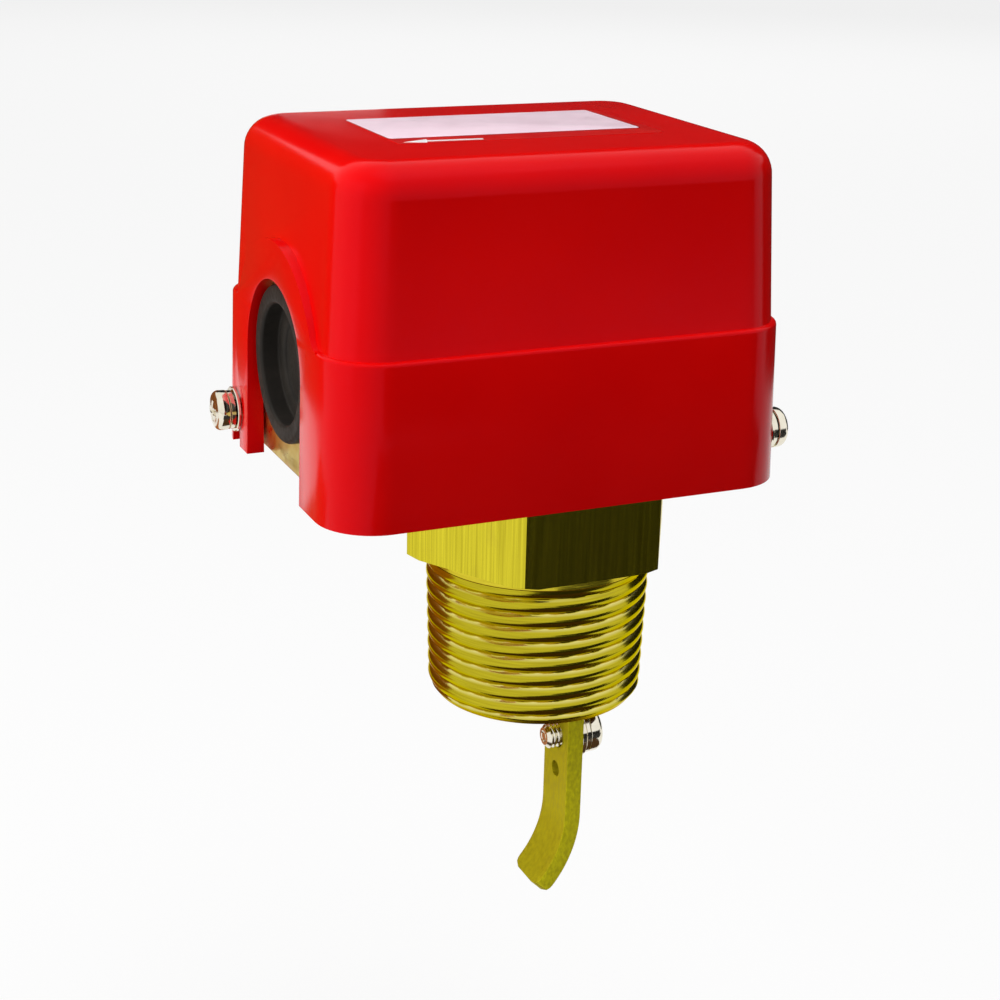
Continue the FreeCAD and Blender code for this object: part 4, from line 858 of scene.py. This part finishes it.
def pan_head(radius, height):
    """Domed pan head standing on z 0."""
    side, shoulder = height * 0.42, height * 0.86
    outline = [(0, 0), (radius - 0.08, 0), (radius, 0.08), (radius, side)]
    for i in range(1, 9):
        a = math.radians(90 * i / 8)
        inset = 0.30 * radius * (1 - math.cos(a))
        outline.append((radius - inset, side + (shoulder - side) * math.sin(a)))
    crown = outline[-1][0]
    for share in (0.8, 0.55, 0.3, 0.12, 0.0):
        outline.append((crown * share, height * (0.86 + 0.14 * (1 - share ** 2))))
    return lathe(outline, 56)


def make_screw(name, place, direction, size, length, head, node, body="base", finish="nickel"):
    """Threaded pan-head screw with a cross recess; size is its radius and pitch, head its own two."""
    radius, pitch = size
    head_radius, head_height = head
    recess = cross_recess(head_radius * 0.55, head_height * 0.62, head_height)
    whole = combined(
        pan_head(head_radius, head_height), [("DIFFERENCE", recess)],
        bevel=0.05, bevel_angle=35, segments=2,
    )
    bore, core = radius * 0.3, radius * 0.31
    join(whole, threaded_shank(radius - 0.02, length, pitch, pitch * 0.55, bore, core, bore, 40))
    piece(name, facing(whole, place, direction), finish, body, [node], sharp=40)


def spring_washer(name, place, direction, inner, outer, thickness, node, body, turn):
    """Split ring with its ends apart along the axis; turn sets where it is split."""
    bm = bmesh.new()
    section = [
        (outer - 0.12, 0.0), (outer, 0.12), (outer, thickness - 0.12), (outer - 0.12, thickness),
        (inner + 0.1, thickness), (inner, thickness - 0.1), (inner, 0.1), (inner + 0.1, 0.0),
    ]
    steps = 60
    gap = math.radians(11)
    lowered = 0.25 * thickness
    scale = (thickness - lowered) / thickness
    rings = []
    for i in range(steps + 1):
        share = i / steps
        a = turn + gap / 2 + (2 * math.pi - gap) * share
        lift = lowered * share
        rings.append([
            bm.verts.new((r * math.cos(a), r * math.sin(a), z * scale + lift)) for r, z in section
        ])
    washer = facing(capped(bm, rings), place, direction)
    piece(name, washer, "nickel", body, [node], sharp=40)


def flat_washer(name, place, direction, inner, outer, thickness, node, body):
    e = 0.1
    bm = lathe([
        (inner + e, 0), (outer - e, 0), (outer, e), (outer, thickness - e), (outer - e, thickness),
        (inner + e, thickness), (inner, thickness - e), (inner, e),
    ], 56, closed=True)
    washer = facing(bm, place, direction)
    piece(name, washer, "nickel", body, [node], sharp=40)


M3, M4 = (1.5, 0.5), (2.0, 0.7)                         # screw radius and pitch
FLAT_M3, SPRING_M3 = (1.6, 3.25, 0.5), (1.6, 2.8, 1.0)  # inner and outer radius, thickness
FLAT_M4, SPRING_M4 = (2.05, 4.0, 0.8), (2.1, 3.6, 1.0)
LEFT_SEAT_X, RIGHT_SEAT_X = -40.73, 26.33
ARM_INNER_X, ARM_OUTER_X, ARM_HALF = 4.3, 6.9, 4.0
PADDLE_SCREW_Z = -32.8


def washered_screw(names, nodes, seat, side, body, flat, spring, size, length, head, turn):
    """Flat washer, spring washer and screw, stacked along X on one seat."""
    out = (side, 0, 0)
    on_flat = (seat[0] + side * flat[2], *seat[1:])
    on_spring = (on_flat[0] + side * spring[2], *seat[1:])
    flat_washer(names[0], seat, out, *flat, nodes[0], body)
    spring_washer(names[1], on_flat, out, *spring, nodes[1], body, turn)
    make_screw(names[2], on_spring, out, size, length, head, nodes[2], body)


for x, side, end in ((LEFT_SEAT_X, -1, "left"), (RIGHT_SEAT_X, 1, "right")):
    washered_screw(
        [name + end for name in ("cover_flat_washer_", "cover_spring_washer_", "cover_screw_")],
        ("cover_screw_flat_washers", "cover_screw_spring_washers", "cover_screws"),
        (x, -side * SCREW_Y, SCREW_Z), side, "base", FLAT_M3, SPRING_M3, M3, 8.0, (2.9, 2.0), 2.2,
    )
washered_screw(
    ("paddle_flat_washer", "paddle_spring_washer", "paddle_clamp_screw"),
    ("paddle_screw_flat_washer", "paddle_screw_spring_washer", "paddle_screw"),
    (ARM_OUTER_X, 0, PADDLE_SCREW_Z), 1, "lever", FLAT_M4, SPRING_M4, M4, 6.6, (3.5, 2.6), 0.8,
)


# -------------------------------- cable grommet
ENTRY_FACE_X = -37.9


def make_grommet():
    """Blind grommet, turned about its axis: heights are above the entry flange's outer face."""
    outer, floor = 1.6, -1.1
    outline = [(0, floor - 0.5), (5.6, floor - 0.5)]
    outline += arc((5.7, floor - 0.2), 0.3, -90, 0, 3)
    outline += [(6.3, floor), (7.8, floor)]
    outline += arc((7.85, floor + 0.35), 0.35, -90, 0, 3)
    outline += [(8.2, outer - 0.5)]
    outline += arc((8.7, outer - 0.5), 0.5, 180, 90, 4)
    outline += arc((10.2, outer - 0.6), 0.6, 90, 0, 5)
    outline += [(10.8, 0.0), (9.0, 0.0), (9.0, -1.5), (10.2, -1.5)]
    outline += arc((9.7, -2.6), 0.5, 0, -90, 3)
    outline += [(8.2, -3.1), (7.8, floor - 1.4), (0, floor - 1.4)]
    bm = facing(lathe(outline, 96), (ENTRY_FACE_X, 0, ENTRY_Z), (-1, 0, 0))
    piece("grommet_rubber", bm, "rubber", "base", ["cable_grommet"], sharp=50)


make_grommet()


# -------------------------------- CAD nodes that keep their own shapes
def dress(material, *nodes):
    """Gives CAD nodes a detailed material."""
    for name in nodes:
        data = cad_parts[name]
        if not data.material_slots:
            data.data.materials.append(None)
        for place in data.material_slots:
            place.material = M[material]


dress("passivated", "chassis")
dress("zinc", "pivot_bracket", "switch_lever_plate", "switch_bracket", "range_bracket")
dress("brass_drawn", "terminal_plates", "earth_washer")
dress("brass_turned", "range_spring_seat")
dress("stainless", "pivot_pin")
dress("spring", "pivot_clips")
dress("phenolic", "microswitch_case")
dress("nylon", "microswitch_plunger")


# -------------------------------- chassis edge
FLANGE_HALF, BEND_RADIUS = 19.5, 2.2


def make_chassis_edge():
    """The sharp pressed corner under the entry flange, set over the solid's round bend."""
    corner = 0.3
    x, bottom = ENTRY_FACE_X, HEX_HEIGHT
    section = [(x, bottom + BEND_RADIUS)]
    section += arc((x + corner, bottom + corner), corner, 180, 270, 4)
    section += [(x + BEND_RADIUS, bottom), (x + 0.9, bottom + 0.9)]
    bm = bmesh.new()
    ends = [[bm.verts.new((x, y, z)) for x, z in section] for y in (-FLANGE_HALF, FLANGE_HALF)]
    capped(bm, ends)
    piece("chassis_entry_edge", bm, "passivated", "base", sharp=30)


make_chassis_edge()


# -------------------------------- paddle arm, rod and rivets
ARM_TOP, ARM_BEND_Z, ARM_BEND_RADIUS, ARM_BEND = -11.4, -45.0, 18.8, 45.0
LOCATING_HOLE_Z, RIVET_ZS, RIVET_HOLE = -38.7, (-14.5, -21.5), 1.3


def make_paddle_arm():
    """Sheared strip: straight, then bent back through an arc, with its lower corners rounded."""
    centre_x = ARM_OUTER_X - ARM_BEND_RADIUS
    straight, turns = 44, 26
    stations = [(ARM_TOP + (ARM_BEND_Z - ARM_TOP) * k / straight, 0.0) for k in range(straight)]
    stations += [(ARM_BEND_Z, ARM_BEND * k / turns) for k in range(turns + 1)]
    thickness = ARM_OUTER_X - ARM_INNER_X
    corner = 1.6
    bm = bmesh.new()
    rings = []
    across = 12
    middle = ARM_BEND_RADIUS - thickness / 2
    for z, degrees in stations:
        a = math.radians(degrees)
        left = math.radians(ARM_BEND) * middle - a * middle
        half = ARM_HALF
        if left < corner:
            half -= corner - math.sqrt(max(0.0, corner ** 2 - (corner - left) ** 2))
        ring = []
        for side, radius in ((1, ARM_BEND_RADIUS), (-1, ARM_BEND_RADIUS - thickness)):
            for k in range(across + 1):
                y = side * half * (1 - 2 * k / across)
                ring.append(bm.verts.new((
                    centre_x + radius * math.cos(a), y, z - radius * math.sin(a)
                )))
        rings.append(ring)
    holes = [(z, RIVET_HOLE) for z in RIVET_ZS] + [(PADDLE_SCREW_Z, 2.1), (LOCATING_HOLE_Z, 1.25)]
    cuts = [
        ("DIFFERENCE", cross_rod(radius, ARM_INNER_X - 1, ARM_OUTER_X + 1, z, segments=36))
        for z, radius in holes
    ]
    strip = combined(capped(bm, rings), cuts, bevel=0.22, bevel_angle=50, segments=3)
    arm = piece("paddle_strip", strip, "brass_strip", "lever", ["paddle_arm"], sharp=40)
    arm.data.materials.append(M["brass_sheared"])
    for face in arm.data.polygons:
        if abs(face.normal.y) > 0.6 and abs(face.center.y) > 0.6 * ARM_HALF * MM:
            face.material_index = 1


make_paddle_arm()


# -------------------------------- lever
PIVOT_Z, SHOULDER_Z, STUD_TOP_Z = 21.5, 25.5, 31.7
ROD_RADIUS, STUD_RADIUS = 4.0, 2.5
FOOT_TOP_Z, FOOT_BOTTOM_Z = -11.0, -25.0


def make_lever_rod():
    """Round rod with a flat foot for the arm, a pivot hole and a threaded stud on top."""
    edge = 0.35
    rod = lathe([
        (0, FOOT_TOP_Z - 1), (ROD_RADIUS, FOOT_TOP_Z - 1), (ROD_RADIUS, SHOULDER_Z - edge),
        (ROD_RADIUS - edge, SHOULDER_Z), (0, SHOULDER_Z),
    ], 64)
    half = ROD_RADIUS
    foot = solid_box(-half, ARM_INNER_X, -half, half, FOOT_BOTTOM_Z, FOOT_TOP_Z)
    cuts = [("UNION", foot), ("DIFFERENCE", cross_rod(1.55, -6, 6, PIVOT_Z, (0, 1, 0)))]
    cuts += [("DIFFERENCE", cross_rod(RIVET_HOLE, -6, 8, z)) for z in RIVET_ZS]
    whole = combined(rod, cuts, bevel=0.3, bevel_angle=50)
    stud = threaded_shank(STUD_RADIUS - 0.02, STUD_TOP_Z - SHOULDER_Z, 0.8, 0.45, 1.0, 1.05, 0.6)
    join(whole, facing(stud, (0, 0, SHOULDER_Z), (0, 0, -1)))
    piece("lever_rod_turned", whole, "brass_turned", "lever", ["lever_rod"], sharp=40)


make_lever_rod()


def dome(radius, height, base, side):
    """Points of a round head from rim to pole, on the given side of its base."""
    rim = height * 0.25
    points = [(radius, base), (radius, base + side * rim)]
    for i in range(1, 7):
        a = math.radians(90 * i / 7)
        points.append((radius * math.cos(a), base + side * (rim + (height - rim) * math.sin(a))))
    return points + [(0, base + side * height)]


def make_rivets():
    for number, z in enumerate(RIVET_ZS):
        head = dome(2.2, 0.9, ARM_OUTER_X, 1)
        tail = dome(2.2, 0.9, -ROD_RADIUS, -1)
        outline = tail[::-1] + [(1.24, -ROD_RADIUS), (1.24, ARM_OUTER_X)] + head
        bm = facing(lathe(outline, 40), (0, 0, z), (1, 0, 0))
        name = "rivet_" + str(number + 1)
        piece(name, bm, "brass_turned", "lever", ["arm_rivets"], sharp=50)


make_rivets()


def make_lever_nut():
    low, high = (corner[2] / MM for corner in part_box("lever_nut"))
    bore = upright_rod(STUD_RADIUS + 0.03, low - 1, high + 1)
    nut = chamfered_hexagon(8.0, low, high, 0.35, [("DIFFERENCE", bore)], 0.08)
    piece("lever_lock_nut", nut, "zinc", "lever", ["lever_nut"], sharp=30)


make_lever_nut()


# -------------------------------- bellows
def make_bellows():
    """Thin formed bellows: its flange sits in the body, and it ends below in a cap."""
    valley, crest, wall = 5.7, 7.4, 0.3
    flange_top, flange_bottom, folds_top, folds_end, cap = 15.0, 14.0, 13.7, -6.3, -7.3
    folds, steps = 8, 12
    outer, inner = [], []
    for k in range(folds * steps + 1):
        z = folds_top + (folds_end - folds_top) * k / (folds * steps)
        wave = 0.5 - 0.5 * math.cos(2 * math.pi * k / steps)
        outer.append((valley + (crest - valley) * wave, z))
        inner.append((valley + (crest - valley) * wave - wall, z))
    outline = [
        (12.3, flange_top), (12.35, flange_top - 0.1), (12.35, flange_bottom),
        (valley + 0.3, flange_bottom), *outer, (valley, cap + 0.2), (valley - 0.2, cap), (4.2, cap),
        (4.06, cap + 0.15), (4.06, folds_end), *inner[::-1], (valley - wall, flange_top),
    ]
    shape = lathe(outline, 72, closed=True)
    bellows = piece("bellows_folds", shape, "bronze", None, ["bellows"], sharp=60)
    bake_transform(bellows)


make_bellows()


# -------------------------------- range spring, seat and screw
RANGE_X, RANGE_Y = -12.0, -8.8
SPRING_LOW, SPRING_HIGH, SPRING_SPLIT = 26.75, 37.25, 30.0
WIRE_LOW, WIRE_HIGH = SPRING_LOW + 0.4, SPRING_HIGH - 0.4


def spring_wire(z0, z1, steps_per_turn=40):
    """The part of the helix whose middle line lies between two heights."""
    radius, wire, turns = 3.0, 0.38, 5.0
    rise = WIRE_HIGH - WIRE_LOW
    bm = bmesh.new()
    start = turns * (z0 - WIRE_LOW) / rise
    end = turns * (z1 - WIRE_LOW) / rise
    steps = int((end - start) * steps_per_turn)
    rings = []
    for k in range(steps + 1):
        turn = start + (end - start) * k / steps
        z = WIRE_LOW + rise * turn / turns
        a = 2 * math.pi * turn
        out = Vector((math.cos(a), math.sin(a), 0))
        centre = Vector((RANGE_X, RANGE_Y, z)) + radius * out
        rings.append([
            bm.verts.new(centre + wire * (math.cos(b) * out + math.sin(b) * Vector((0, 0, 1))))
            for b in (2 * math.pi * i / 12 for i in range(12))
        ])
    return capped(bm, rings)


def make_range_spring():
    """The spring in two pieces: the coils below a height, and those above it."""
    foot = piece(
        "range_spring_foot", spring_wire(WIRE_LOW, SPRING_SPLIT), "spring", None,
        ["range_spring"], sharp=60,
    )
    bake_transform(foot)
    coils = piece(
        "range_spring_coils", spring_wire(SPRING_SPLIT, WIRE_HIGH), "spring", "base",
        ["range_spring"], sharp=60,
    )
    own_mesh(coils)


make_range_spring()


def make_range_screw():
    """Slotted cheese-head screw whose tip stands in the spring's seat."""
    seat, tip = 51.4, 38.55
    radius, height = 3.5, 2.6
    head = lathe([
        (0, 0), (radius - 0.1, 0), (radius, 0.1), (radius, 2.1), (radius - 0.35, 2.5),
        (radius - 0.8, height), (0, height),
    ], 64)
    slot = solid_box(-5, 5, -0.5, 0.5, height - 1.2, height + 1)
    whole = combined(head, [("DIFFERENCE", slot)], bevel=0.08, segments=2)
    join(whole, threaded_shank(1.98, seat - tip, 0.7, 0.40, 0.8, 0.85, 0.8))
    facing(whole, (RANGE_X, RANGE_Y, seat), (0, 0, 1))
    piece(
        "range_adjusting_screw", whole, "zinc", "range_adjuster", ["range_screw"],
        sharp=40,
    )


make_range_screw()


# -------------------------------- small screws inside the housing
def solids_of(node):
    """Boxes, in millimetres, of the separate solids in a CAD node."""
    bm = bmesh.new()
    bm.from_mesh(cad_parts[node].data)
    bmesh.ops.remove_doubles(bm, verts=bm.verts, dist=1e-7)
    waiting = set(bm.verts)
    boxes = []
    while waiting:
        found, edge_of = set(), [waiting.pop()]
        while edge_of:
            vertex = edge_of.pop()
            found.add(vertex)
            for edge in vertex.link_edges:
                other = edge.other_vert(vertex)
                if other in waiting:
                    waiting.remove(other)
                    edge_of.append(other)
        low = Vector([min(v.co[i] for v in found) / MM for i in range(3)])
        high = Vector([max(v.co[i] for v in found) / MM for i in range(3)])
        boxes.append((low, high))
    bm.free()
    return sorted(boxes, key=lambda b: (round(b[0].x, 3), round(b[0].y, 3)))


def make_screws_at(node, direction, size, head_height, finish="zinc"):
    """Detailed screws where the CAD node has its plain ones, heads towards the direction."""
    axis = [i for i in range(3) if direction[i]][0]
    across = (axis + 1) % 3
    for number, (low, high) in enumerate(solids_of(node)):
        seat = (low + high) / 2
        end = high[axis] if direction[axis] > 0 else low[axis]
        seat[axis] = end - direction[axis] * head_height
        length = high[axis] - low[axis] - head_height
        head = ((high[across] - low[across]) / 2, head_height)
        name = node + "_" + str(number + 1)
        make_screw(name, seat, direction, size, length, head, node, "base", finish)


M3_HEAD, M4_HEAD = 2.0, 2.6
for node in ("body_screws", "switch_bracket_screws", "range_bracket_screws", "terminal_screws"):
    make_screws_at(node, (0, 0, 1), M3, M3_HEAD)
make_screws_at("microswitch_screws", (0, -1, 0), M3, M3_HEAD)
make_screws_at("earth_screw", (0, 0, 1), M4, M4_HEAD, "green")
